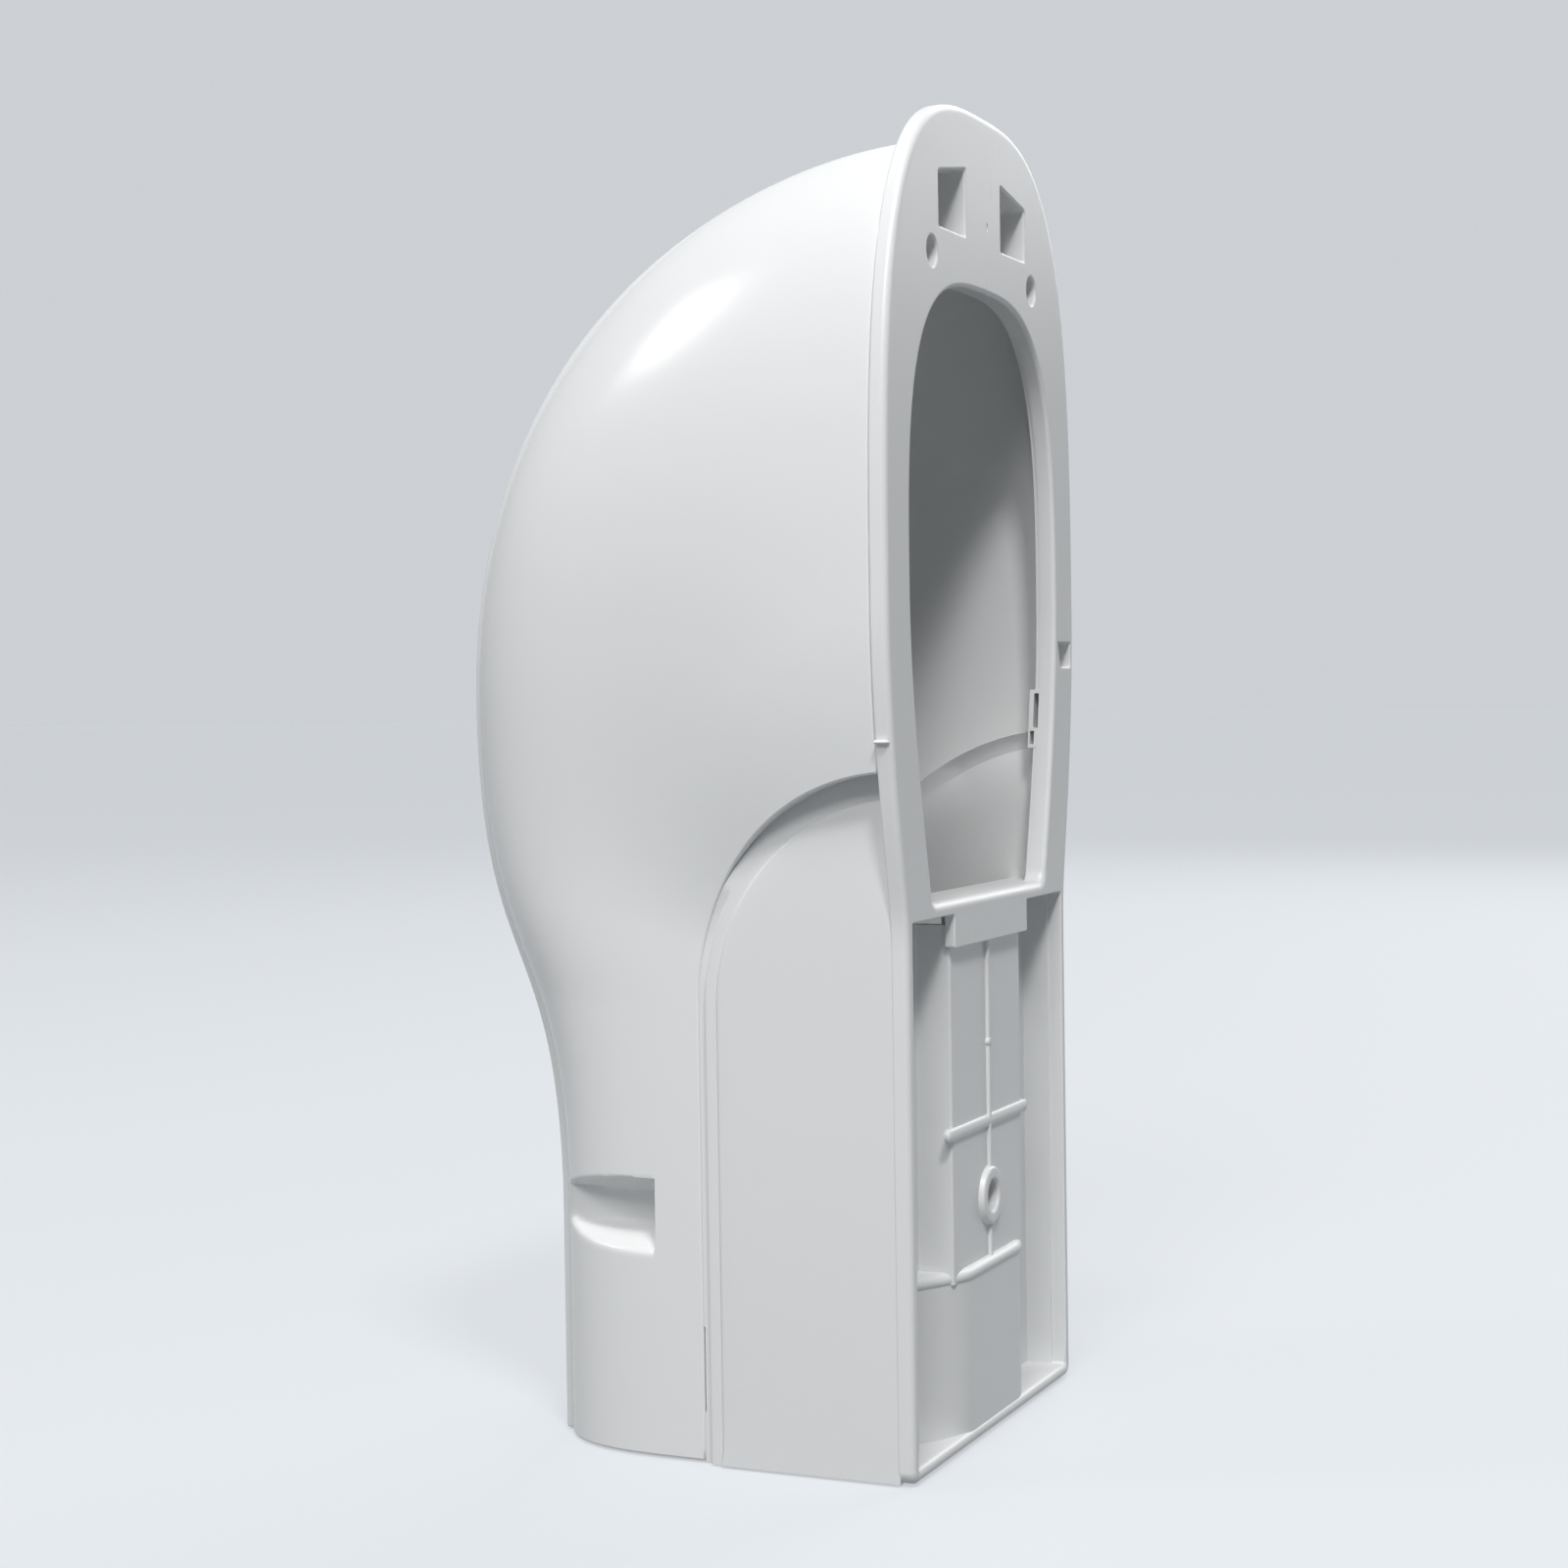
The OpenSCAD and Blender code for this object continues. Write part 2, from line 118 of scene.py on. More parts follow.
class LINECOVER_PG_cover(bpy.types.PropertyGroup):
    """Sizes of the domed front cover."""
    wall: length("Wall", 2, "Wall thickness of the cover")
    foot_depth: length("Foot depth", 70.6, "Depth of the front face at the foot")
    dome_depth: length("Dome depth", 86.38, "Depth of the dome at its fullest")
    flare_z: length("Flare height", 38, "Height where the straight foot ends")
    dome_z: length("Dome height", 127.5, "Height where the dome is fullest")
    flare_pull: length("Flare handle", 51, "Length of the curve handles along the flare")
    crown_rise: length("Crown rise", 58, "Length of the upright handle above the fullest point")
    crown_reach: length("Crown reach", 41, "Length of the handle at the wall plate")
    crown_slope: angle("Crown slope", 3, "Slope of the crown at the wall plate")
    crown_drop: length("Crown drop", 9, "Distance of the crown below the plate's top")
    side_inset: length("Side inset", 1.8, "How far the side lies inside the cheek face")
    swell_from: angle("Swell start", 15, "Tilt of the section where the sides swell out")
    foot_square: number("Foot roundness", 3.5, "Exponent of the foot's section")
    band_half: length("Band half width", 26.6, "Half of the width of the raised band")
    band_raise: length("Band height", 1.8, "Height of the raised band over the shoulders")
    band_step: length("Band step", 1, "Width of the step beside the band")
    band_bow: length("Band bow", 1.2, "How far the middle of the band bows out")
    band_end: angle("Band end", 88, "Tilt of the section where the band has run out")
    band_fade: angle("Band fade", 30, "Span of tilt over which the band runs out")
    edge_round: length("Edge rounding", 0.42, "Spread of the rounding along the band's edge")


class LINECOVER_PG_grip(bpy.types.PropertyGroup):
    """Sizes of the two finger grips."""
    z: length("Height of floor", 34.5, "Lower edge of the grip")
    h: length("Opening", 12.2, "Height of the grip at the face")
    y: length("Rear end", 47, "Distance of the rear end from the wall")
    depth: length("Depth", 10, "Depth at the rear end")
    slope: length("Slope", 3.9, "Rise of the floor and fall of the roof")
    run: length("Run", 3.5, "Distance from the band to the back wall's front end")
    front: length("Front end", 3, "How far the front end lies behind the shoulder")
    lip: length("Lip rounding", 1.5, "Rounding of the lower lip")
    brow: length("Brow rounding", 0.5, "Rounding of the upper lip")


class LINECOVER_PG_base(bpy.types.PropertyGroup):
    """Sizes of the back part."""
    width: length("Width", 80, "Outer width across the cheeks")
    height: length("Height", 226, "Overall height")
    wall: length("Wall", 2.5, "Wall thickness of the back part")
    clearance: length("Clearance", 0.3, "Gap between the cover and the back part")
    cheek_depth: length("Cheek depth", 36.6, "Distance from the wall to the cheek's front edge")
    arch_z: length("Arch centre", 76.5, "Height of the centre of the cheek arch")
    cheek_rise: length("Arch rise", 34.4, "Rise of the cheek arch above its centre")
    cheek_gap: length("Edge gap", 1.6, "Gap between the cheek's edge and the cover")
    cheek_round: length("Cheek rounding", 0.75, "Rounding of the cheek's outer edge")
    cheek_soft: length("Cheek softening", 3.2, "Width of the slow fall before the cheek's edge")
    cheek_drop: length("Cheek fall", 0.12, "Depth of the slow fall before the cheek's edge")
    tongue: length("Tongue wall", 1.6, "Thickness of the tongue")
    tongue_reach: length("Tongue reach", 3.5, "How far the tongue reaches past the cover's edge")
    tongue_lead: length("Tongue lead", 3.2, "Height of the cove under the tongue's tip")
    tongue_in: length("Tongue inset", 0.7, "How far the tongue lies inside the cheek face")
    plate_t: length("Plate thickness", 3, "Thickness of the wall plate")
    plate_half: length("Plate half width", 47.2, "Greatest half width of the wall plate")
    plate_lip: length("Plate lip", 0.4, "How far the plate stands out past the cover")
    plate_wide_z: length("Widest height", 142, "Height where the plate is widest")
    plate_square: number("Plate roundness", 3.1, "Exponent of the plate's top")
    plate_z: length("Plate foot", 90.4, "Height of the plate's lower edge")
    plate_round: length("Rim rounding", 1.2, "Rounding of the rim on the wall side")
    notch_z: length("Notch height", 132, "Height of the notch's lower side")
    notch_h: length("Notch opening", 4.6, "Height of the notch")
    notch_in: length("Notch inset", 2.0, "Distance of the notch from the plate's outer edge")
    notch_w: length("Notch width", 7.4, "Width of the notch at its top")
    notch_lean: length("Notch lean", 1.8, "How much narrower the notch is at its foot")
    notch_depth: length("Notch depth", 2, "Depth of the notch")
    tab_half: length("Tab half width", 18.5, "Half width of the tab")
    tab_drop: length("Tab drop", 5.7, "How far the tab reaches below the plate")
    open_half: length("Opening half width", 36.6, "Greatest half width of the opening")
    open_foot: length("Opening foot", 29, "Half width of the opening at its foot")
    open_wide_z: length("Opening widest", 145, "Height where the opening is widest")
    open_drop: length("Opening drop", 30.2, "Distance of the opening's top below the plate's top")
    open_square: number("Opening roundness", 3.1, "Exponent of the opening's top")
    open_round: length("Opening corner", 2.5, "Radius of the opening's lower corners")
    screw_d: length("Screw hole", 5, "Diameter of the upper screw holes")
    screw_pitch: length("Screw pitch", 50, "Distance between the upper screw holes")
    screw_drop: length("Screw drop", 26.5, "Distance of the holes below the plate's top")
    low_screw_d: length("Lower screw hole", 5.5, "Diameter of the lower screw hole")
    boss_d: length("Boss", 10, "Outer diameter of the boss")
    boss_z: length("Boss height", 40.3, "Height of the boss above the foot")
    boss_h: length("Boss rise", 1, "Height of the boss above the strip")
    window_in: length("Window place", 8.8, "Distance from the middle to the window")
    window_w: length("Window width", 12.9, "Width of each window")
    window_drop: length("Window drop", 21.8, "Distance of its lower edge below the plate's top")
    window_h: length("Window height", 11.3, "Height of each window at its inner side")
    window_tilt: angle("Window tilt", 10, "Fall of the window's top edge")
    window_depth: length("Window depth", 6.5, "How far the window's collar reaches in")
    window_wall: length("Window collar", 1.2, "Wall thickness of the collar")


class LINECOVER_PG_channel(bpy.types.PropertyGroup):
    """Sizes of the channel back and the foot."""
    floor_y: length("Floor depth", 7.5, "Depth of the channel floor behind the wall plane")
    strip_half: length("Strip half width", 17.6, "Half width of the centre strip")
    strip_y: length("Strip depth", 1.3, "Depth of the centre strip behind the wall plane")
    rib_w: length("Rib width", 1, "Width of the upright rib")
    rib_h: length("Rib height", 0.6, "Height of the ribs above the strip")
    level_rib_w: length("Level rib width", 2.2, "Width of the level rib")
    level_rib_z: length("Level rib height", 53.3, "Height of the level rib above the foot")
    level_rib_half: length("Level rib half length", 19, "Half length of the level rib")
    slot_h: length("Slot", 1.9, "Height of the slot at the top of each channel")
    foot_h: length("Foot height", 30, "Height of the curved foot wall")
    foot_flat: length("Foot flat", 11.5, "Half width of the flat middle of the foot wall")
    foot_run: length("Foot run", 31, "Where the foot wall reaches the channel floor")
    lip_t: length("Lip", 2.3, "Thickness of the lip along the bottom")
    crease: length("Inside rounding", 0.5, "Rounding of the small edges")


class LINECOVER_PG_look(bpy.types.PropertyGroup):
    """Colours of the plastic and the studio."""
    cover_paint: paint("Cover", "#EDEEEE", "White of the glossy cover")
    base_paint: paint("Back part", "#E9EAEA", "White of the back part")
    floor_paint: paint("Floor", "#DDE1E5", "Colour of the studio floor and backdrop")
    key: number("Key light", 1.0, "Strength of the main light")
    fill: number("Fill light", 1.0, "Strength of the fill lights")


def sizes(group):
    """A property group as a namespace: lengths in millimetres, angles in degrees."""
    values = {}
    for key, prop in group.bl_rna.properties.items():
        if prop.type == "FLOAT":
            value = getattr(group, key)
            factor = {"DISTANCE": 1000, "ANGLE": 180 / math.pi}.get(prop.subtype, 1)
            values[key] = value * factor
    return SimpleNamespace(**values)


def all_sizes():
    """Every size of the object in one place, with the few that follow from the others."""
    scene = bpy.context.scene
    c, g, b, k = (sizes(group) for group in (
        scene.linecover_cover, scene.linecover_grip, scene.linecover_base,
        scene.linecover_channel))
    b.half = b.width / 2
    b.rear = b.plate_t + b.clearance / 2
    b.edge_r = b.cheek_depth + b.cheek_gap
    b.window_z = b.height - b.window_drop
    b.screw_z = b.height - b.screw_drop
    b.open_top = b.height - b.open_drop
    b.open_z = b.plate_z + b.wall
    c.side = b.half - c.side_inset
    c.dome_half = b.plate_half - b.plate_lip
    c.crown_z = b.height - c.crown_drop
    return c, g, b, k


# Mesh making ------------------------------------------------------------------------------

def ease(t):
    """Smooth rise from 0 to 1 while t runs from 0 to 1: 3t^2 - 2t^3."""
    t = np.clip(t, 0, 1)
    return t * t * (3 - 2 * t)


def smooth_least(a, b, k):
    """Lesser of a and b, rounded where they meet over a width of about k:
    -k log(exp(-a/k) + exp(-b/k))."""
    low = np.minimum(a, b)
    return low - k * np.log(np.exp(-(a - low) / k) + np.exp(-(b - low) / k))


def quads(rows, cols, wrap_rows=False, wrap_cols=False):
    """Four-sided faces of a grid of points, each as four indices."""
    i = np.arange(rows if wrap_rows else rows - 1)[:, None]
    j = np.arange(cols if wrap_cols else cols - 1)[None]
    below, right = (i + 1) % rows, (j + 1) % cols
    corners = [i * cols + j, i * cols + right, below * cols + right, below * cols + j]
    return np.stack(np.broadcast_arrays(*corners), -1).reshape(-1, 4)


def make_piece(name, points, faces):
    """A mesh object from points in millimetres and a list of faces, with its doubles merged
    and its faces turned outwards."""
    mesh = bpy.data.meshes.new(name)
    mesh.from_pydata((np.asarray(points) / 1000).tolist(), [], faces)
    work = bmesh.new()
    work.from_mesh(mesh)
    bmesh.ops.remove_doubles(work, verts=work.verts, dist=1e-7)
    bmesh.ops.recalc_face_normals(work, faces=work.faces)
    work.to_mesh(mesh)
    work.free()
    mesh.shade_smooth()
    piece = bpy.data.objects.new(name, mesh)
    bpy.context.scene.collection.objects.link(piece)
    return piece


def joined(parts):
    """Several (points, faces) pairs as one."""
    points, faces, start = [], [], 0
    for part_points, part_faces in parts:
        points.append(part_points)
        faces += [[start + i for i in face] for face in part_faces]
        start += len(part_points)
    return np.concatenate(points), faces


def outward(outline):
    """Mitred outward normals of a closed outline: the sum of the two sides' normals over
    one plus their cosine. The outline may run either way round."""
    side = np.roll(outline, -1, 0) - outline
    side /= np.linalg.norm(side, axis=1, keepdims=True) + 1e-12
    normal = np.stack([side[:, 1], -side[:, 0]], 1)
    before = np.roll(normal, 1, 0)
    x, y = outline.T
    turn = np.sign(np.sum(x * np.roll(y, -1) - np.roll(x, -1) * y))
    return turn * (normal + before) / (1 + (normal * before).sum(1, keepdims=True)).clip(0.2)


def pillow(outline, rows, axes=(0, 1, 2), share=1.0):
    """Closed solid over a closed outline. Each row is (inset, height) or (inset, height,
    drop): the outline moved in along its normals by inset times share and set at height
    plus drop times share, where share may differ from point to point. The two ends are
    closed by flat faces. axes says which of x, y and z take the outline's two values and
    the height."""
    outline = np.asarray(outline, float)
    n, normals = len(outline), outward(outline)
    share = np.broadcast_to(share, n)
    grid = [np.column_stack([outline - inset * share[:, None] * normals,
                             height + share * sum(drop)]) for inset, height, *drop in rows]
    points = np.concatenate(grid)
    faces = quads(len(rows), n, wrap_cols=True).tolist()
    faces += [list(range(n)), list(range(len(points) - n, len(points)))]
    place = np.empty_like(points)
    place[:, list(axes)] = points
    return place, faces


def ring(outer, inner, rows, axes=(0, 1, 2)):
    """Closed ring between two outlines with as many points. Each row is (which, inset,
    height): which is 0 for the outer outline, moved in by inset, and 1 for the inner one,
    moved out by inset. The rows run round the ring's section and close on themselves."""
    lines = [np.asarray(outer, float), np.asarray(inner, float)]
    normals = [outward(lines[0]), -outward(lines[1])]
    grid = [np.column_stack([lines[which] - inset * normals[which],
                             np.full(len(outer), height)]) for which, inset, height in rows]
    points = np.concatenate(grid)
    place = np.empty_like(points)
    place[:, list(axes)] = points
    return place, quads(len(rows), len(outer), True, True).tolist()


def quarter(r, steps=6):
    """A quarter circle of radius r as pairs of inset and drop: r less its cosine, and r less
    its sine, from the upright side to the flat face."""
    return [(r * (1 - math.cos(t)), r * (1 - math.sin(t)))
            for t in np.linspace(0, math.pi / 2, steps + 1)]


def rounded(r, low, high, steps=4, both=True):
    """Rows of a pillow from low to high with rounded edges of radius r: a quarter circle
    at the high end and, where both is set, at the low end too. A narrow flat row beside
    each rounding keeps the flat face's shading flat."""
    turn, arc = np.sign(high - low), quarter(r, steps)
    end = [(inset, high, -turn * drop) for inset, drop in arc] + [(1.4 * r, high)]
    start = [(1.4 * r, low)] + [(inset, low, turn * drop) for inset, drop in arc[::-1]]
    return (start if both else [(0, low)]) + end


def swept(rings):
    """Closed solid through a stack of like outlines, given as an array of rings."""
    rows, cols, _ = rings.shape
    faces = quads(rows, cols, wrap_cols=True).tolist()
    faces += [list(range(cols)), list(range((rows - 1) * cols, rows * cols))]
    return rings.reshape(-1, 3), faces


def cut(piece, *cutters):
    """Takes the cutters' solids away from the piece and removes them."""
    for cutter in cutters:
        step = piece.modifiers.new("Cut", "BOOLEAN")
        step.operation = "DIFFERENCE"
        step.solver = "EXACT"
        step.object = cutter
    graph = bpy.context.evaluated_depsgraph_get()
    graph.update()
    mesh = bpy.data.meshes.new_from_object(piece.evaluated_get(graph))
    piece.modifiers.clear()
    old = piece.data
    piece.data = mesh
    bpy.data.meshes.remove(old)
    for cutter in cutters:
        bpy.data.objects.remove(cutter)


def settle(piece, material, body, slot, *nodes, crease=35, flats=True):
    """Gives a finished piece its shading, its material and its body; slot is not used. With
    flats set, large flat faces keep an even shade up to the roundings beside them."""
    piece.data.shade_smooth()
    piece.data.set_sharp_from_angle(angle=math.radians(crease))
    if flats:
        even = piece.modifiers.new("Flats", "WEIGHTED_NORMAL")
        even.keep_sharp = True
    piece.data.materials.clear()
    piece.data.materials.append(material)
    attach(piece, body)
    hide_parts(*nodes)


def settle_base(piece, crease=35):
    """Finishes a piece of the back part."""
    settle(piece, plastic("base"), BASE, "base_plastic", "wall_base", crease=crease)


def circle(r, n, x, z):
    """A circle of n points about x and z."""
    a = np.linspace(0, 2 * math.pi, n, endpoint=False)
    return np.column_stack([x + r * np.cos(a), z + r * np.sin(a)])


def box_line(x0, x1, z0, z1):
    """The four corners of a rectangle."""
    return np.array([[x0, z0], [x1, z0], [x1, z1], [x0, z1]], float)


def filled(outline, step):
    """A closed outline with points added so that no side is longer than step."""
    following = np.roll(outline, -1, 0)
    count = np.maximum(1, np.ceil(np.linalg.norm(following - outline, axis=1) / step))
    return np.concatenate([
        p + (q - p) * np.arange(n)[:, None] / n
        for p, q, n in zip(outline, following, count.astype(int))])


def corners_rounded(outline, r, steps=5):
    """A closed outline of straight sides with each corner turned on a curve that starts
    r before it and ends r after it: a quadratic curve with the corner as its handle."""
    t = np.linspace(0, 1, steps + 1)[:, None]
    before, after = np.roll(outline, 1, 0), np.roll(outline, -1, 0)
    a = outline + (before - outline) * r / np.linalg.norm(before - outline, axis=1)[:, None]
    b = outline + (after - outline) * r / np.linalg.norm(after - outline, axis=1)[:, None]
    return np.concatenate([(1 - t) ** 2 * a[i] + 2 * t * (1 - t) * outline[i] + t ** 2 * b[i]
                           for i in range(len(outline))])


# The front cover --------------------------------------------------------------------------

def cubic(a, b, c, d, t):
    """Point on a cubic curve with two ends and two handles."""
    a, b, c, d = (np.array(p, float) for p in (a, b, c, d))
    t = np.asarray(t)[:, None]
    return a * (1 - t) ** 3 + 3 * b * (1 - t) ** 2 * t + 3 * c * (1 - t) * t * t + d * t ** 3


def spread(stops):
    """Numbers from the first stop to the last; each stop is (value, step after it)."""
    parts = [np.linspace(a, b, max(2, int(round((b - a) / step)) + 1))[:-1]
             for (a, step), (b, _) in zip(stops[:-1], stops[1:])]
    return np.concatenate(parts + [[stops[-1][0]]])


def front_edge(c, b, g):
    """The cover's front in depth and height: straight at the foot, then two cubic curves.
    The rows lie close together beside the finger grips."""
    t = np.linspace(0, 1, 400)
    slope = math.tan(math.radians(c.crown_slope))
    foot = np.column_stack([np.full(100, c.foot_depth), np.linspace(0, c.flare_z, 100)])
    flare = cubic([c.foot_depth, c.flare_z], [c.foot_depth, c.flare_z + c.flare_pull],
                  [c.dome_depth, c.dome_z - c.flare_pull], [c.dome_depth, c.dome_z], t)
    crown = cubic([c.dome_depth, c.dome_z], [c.dome_depth, c.dome_z + c.crown_rise],
                  [b.rear + c.crown_reach, c.crown_z - c.crown_reach * slope],
                  [b.rear, c.crown_z], t)
    line = np.concatenate([foot[:-1], flare[:-1], crown])
    along = np.concatenate([[0], np.cumsum(np.linalg.norm(np.diff(line, axis=0), axis=1))])
    low, high = g.z - c.wall - 1, g.z + g.h + c.wall + 1
    at = spread([(0, 2.2), (low, 0.42), (high, 1.9), (along[-1], 1)])
    return np.column_stack([np.interp(at, along, line[:, i]) for i in (0, 1)])


def section_sizes(c, b, fan):
    """What the cover and the tongue share in a section tilted by fan degrees: how far the
    side has swelled from the foot's width to the dome's, 0 to 1, how far its widest point
    lies from the axis, and the length below that point on which it tucks in."""
    share = ease((fan - c.swell_from) / (90 - c.swell_from))
    up = b.plate_wide_z - b.arch_z
    mid = b.edge_r - b.rear + (up - b.edge_r + b.rear) * fan / 90
    return share, mid, (b.plate_wide_z - b.plate_z) * mid / up


def tucked(b, share, part):
    """How far a swelled side tucks in: as one less the quarter sine of part, 0 to 1."""
    return (b.plate_half - b.half) * share * (1 - np.sin(np.pi / 2 * np.clip(part, 0, 1)))


def out_to(b, radius, turn):
    """Distance along a tilted section from the cover's rear axis to a cylinder round the
    arch centre in the wall plane: the far root of the law of cosines."""
    return np.sqrt(radius ** 2 - (b.rear * np.sin(turn)) ** 2) - b.rear * np.cos(turn)


def cover_sections(c, b, line, t):
    """Sections of the cover with the wall t taken off, as arrays over rows and a fine run
    of points from the rear edge to the middle. Each section lies in a plane through the
    level axis at the arch centre. Its side is straight or tucked in, its shoulder is a
    superellipse of exponent n, and the raised band is a shallow parabola."""
    deep, high = line[:, :1], line[:, 1:]
    root = np.minimum(high, b.arch_z)
    fan = np.where(high > b.arch_z,
                   np.degrees(np.arctan2(high - b.arch_z, deep - b.rear)), 0)
    turn = np.radians(fan)
    reach = np.hypot(deep - b.rear, high - root)
    share, mid, here = section_sizes(c, b, fan)
    w = c.side + (c.dome_half - c.side) * share - t
    n = c.foot_square + (b.plate_square - c.foot_square) * ease(fan / 90)
    lift = c.band_raise * ease((c.band_end - fan) / c.band_fade)
    foot = c.band_half + c.band_step - t
    low = reach - lift - t
    tall = (low - mid) / (1 - (foot / w) ** n) ** (1 / n)
    first = (out_to(b, b.edge_r, turn) - mid) / tall
    last = np.arctan2((low - mid) / tall, foot / w)
    a = first + (last - first) * np.linspace(0, 1, SIDE_POINTS)[None]
    k = (np.abs(np.cos(a)) ** n + np.abs(np.sin(a)) ** n) ** (1 / n)
    side_x = np.where(a < 0, w - tucked(b, share, 1 + tall * a / here), w * np.cos(a) / k)
    side_r = np.where(a < 0, mid + tall * a, mid + tall * np.sin(a) / k)
    half = c.band_half - t
    band_x = half * np.linspace(1, 0, BAND_POINTS)[None] * np.ones_like(reach)
    band_r = reach - t + c.band_bow * (1 - (band_x / half) ** 2)
    x, r = np.hstack([side_x, band_x]), np.hstack([side_r, band_r])
    return x, r, root, turn


def along_rows(x, r, at):
    """Each row's curve resampled at the shares at of its own length, which are one run of
    numbers for all rows or a run for each."""
    step = np.hypot(np.diff(x, axis=1), np.diff(r, axis=1))
    run = np.hstack([np.zeros((len(x), 1)), np.cumsum(step, axis=1)])
    at = np.broadcast_to(at, (len(x), np.shape(at)[-1])) * run[:, -1:]
    return (np.stack([np.interp(a, s, v) for a, s, v in zip(at, run, x)]),
            np.stack([np.interp(a, s, v) for a, s, v in zip(at, run, r)]))


def softened(v, width, odd):
    """Rows of an even run of points blurred by a bell curve of that width in points. The
    end at the middle is mirrored (odd turns its sign) and the other end is run straight."""
    reach = int(3 * width)
    bell = np.exp(-0.5 * (np.arange(-reach, reach + 1) / width) ** 2)
    bell /= bell.sum()
    head = 2 * v[:, :1] - v[:, reach:0:-1]
    tail = v[:, -2:-2 - reach:-1] * (-1 if odd else 1)
    long = np.hstack([head, v, tail])
    return np.stack([np.convolve(row, bell, "valid") for row in long])


def cover_skin(c, b, g, line, t):
    """One skin of the cover as an array of rows by columns by three, from the rear edge at
    the right over the front to the rear edge at the left. The finger grips are pressed in
    along x: the face is the rounded lesser of the section and the grip's own surface, which
    is the greatest of its back wall, its steep rear end, its sloping floor and its sloping
    roof."""
    x, r, root, turn = cover_sections(c, b, line, t)
    step = np.hypot(np.diff(x, axis=1), np.diff(r, axis=1))
    whole, corner = step.sum(1)[:, None], step[:, :SIDE_POINTS - 1].sum(1)[:, None]
    x, r = along_rows(x, r, np.linspace(0, 1, EVEN_POINTS))
    width = c.edge_round / SECTION_LENGTH * EVEN_POINTS
    x, r = softened(x, width, True), softened(r, width, False)
    # The columns keep to the grip's rear end and to the band's edge in every row.
    behind_grip, past_grip = 7.2, 10.5
    stops = [0, past_grip, corner - 2.4, corner + 4.4, whole]
    shares = [spread([(0, 1.3), (behind_grip, 0.3), (past_grip, 1)]) / past_grip,
              np.linspace(0, 1, 46), np.linspace(0, 1, 30), np.linspace(0, 1, 20)]
    at = np.hstack([low + (high - low) * share[1 if i else 0:] + 0 * whole
                    for i, (low, high, share) in enumerate(zip(stops, stops[1:], shares))])
    x, r = along_rows(x, r, at / whole)
    y, z = -b.rear - r * np.cos(turn), root + r * np.sin(turn)

    pitch = g.slope / g.depth
    rear, front = g.y - t, c.foot_depth - c.band_raise - g.front
    deep, run = c.side - g.depth - t, c.band_half + g.run - t
    wall = deep + (run - deep) * (-y - rear) / (front - rear)
    floor = c.side - (z - g.z + t) / pitch
    roof = c.side - (g.z + g.h + t - z) / pitch
    behind = c.side + 3 - 40 * (-y - rear)
    hollow = np.maximum(np.maximum(wall, behind), 0)
    if t == 0:
        # Outside, the floor, the roof and the lips are rounded over these widths.
        fillet, crisp = 0.25, 0.12
        hollow = -smooth_least(-hollow, -floor, fillet)
        hollow = -smooth_least(-hollow, -roof, crisp)
        soft = g.brow + (g.lip - g.brow) * ease((g.z + g.h / 2 - z) / 4 + 0.5)
        soft = np.where(behind > wall - 2, crisp, soft * 0.5)
        x = np.where(hollow < x + 6, smooth_least(x, hollow, soft), x)
    else:
        x = np.minimum(x, np.maximum(np.maximum(hollow, floor), roof))
    half = np.stack(np.broadcast_arrays(x, y, z), -1)
    other = half[:, -2::-1] * [-1, 1, 1]
    return np.concatenate([half, other], 1)


def cover_shell(c, b, g):
    """The cover as one closed sheet: two skins of the same grid, joined by four rims."""
    line = front_edge(c, b, g)
    skins = [cover_skin(c, b, g, line, t) for t in (0, c.wall)]
    rows, cols, _ = skins[0].shape
    n = rows * cols
    points = np.concatenate([skin.reshape(-1, 3) for skin in skins])
    sheet = quads(rows, cols)
    index = np.arange(n).reshape(rows, cols)
    rim = np.concatenate([index[0], index[1:, -1], index[-1, -2::-1], index[-2:0:-1, 0]])
    after = np.roll(rim, -1)
    rims = np.column_stack([rim, rim + n, after + n, after])
    faces = np.concatenate([sheet, sheet[:, ::-1] + n, rims]).tolist()
    return points, faces, rim, n


class LINECOVER_OT_cover(bpy.types.Operator):
    """Builds the domed front cover with its raised band and its two finger grips"""
    bl_idname = "linecover.cover"
    bl_label = "Front Cover"

    def execute(self, context):
        c, g, b, _ = all_sizes()
        points, faces, rim, n = cover_shell(c, b, g)
        piece = make_piece("cover_shell", points, faces)
        # Only the edges that run along the outer or the inner rim are bevelled.
        ends = np.zeros(len(piece.data.edges) * 2, int)
        piece.data.edges.foreach_get("vertices", ends)
        ends = ends.reshape(-1, 2)
        loops = np.zeros(2 * n, int)
        loops[rim], loops[rim + n] = 1, 2
        weight = (loops[ends[:, 0]] == loops[ends[:, 1]]) & (loops[ends[:, 0]] > 0)
        marks = piece.data.attributes.new("bevel_weight_edge", "FLOAT", "EDGE")
        marks.data.foreach_set("value", weight.astype(np.float32))
        bevel = piece.modifiers.new("Rims", "BEVEL")
        bevel.limit_method = "WEIGHT"
        bevel.width = RIM_BEVEL / 1000
        bevel.segments = 2
        settle(piece, plastic("cover"), COVER, "cover_plastic", "front_cover", crease=50,
               flats=False)
        return {"FINISHED"}


# The back part ----------------------------------------------------------------------------

def oval_top(half, wide, top, n, steps):
    """Quarter superellipse of exponent n, from its widest point up to the middle of its
    top."""
    t = np.linspace(0, math.pi / 2, steps + 1)[1:]
    return np.column_stack([half * np.cos(t).clip(0) ** (2 / n),
                            wide + (top - wide) * np.sin(t) ** (2 / n)])


def both_sides(right):
    """A closed outline from its right half, which starts and ends in the middle."""
    return np.concatenate([right, right[-2:0:-1] * [-1, 1]])


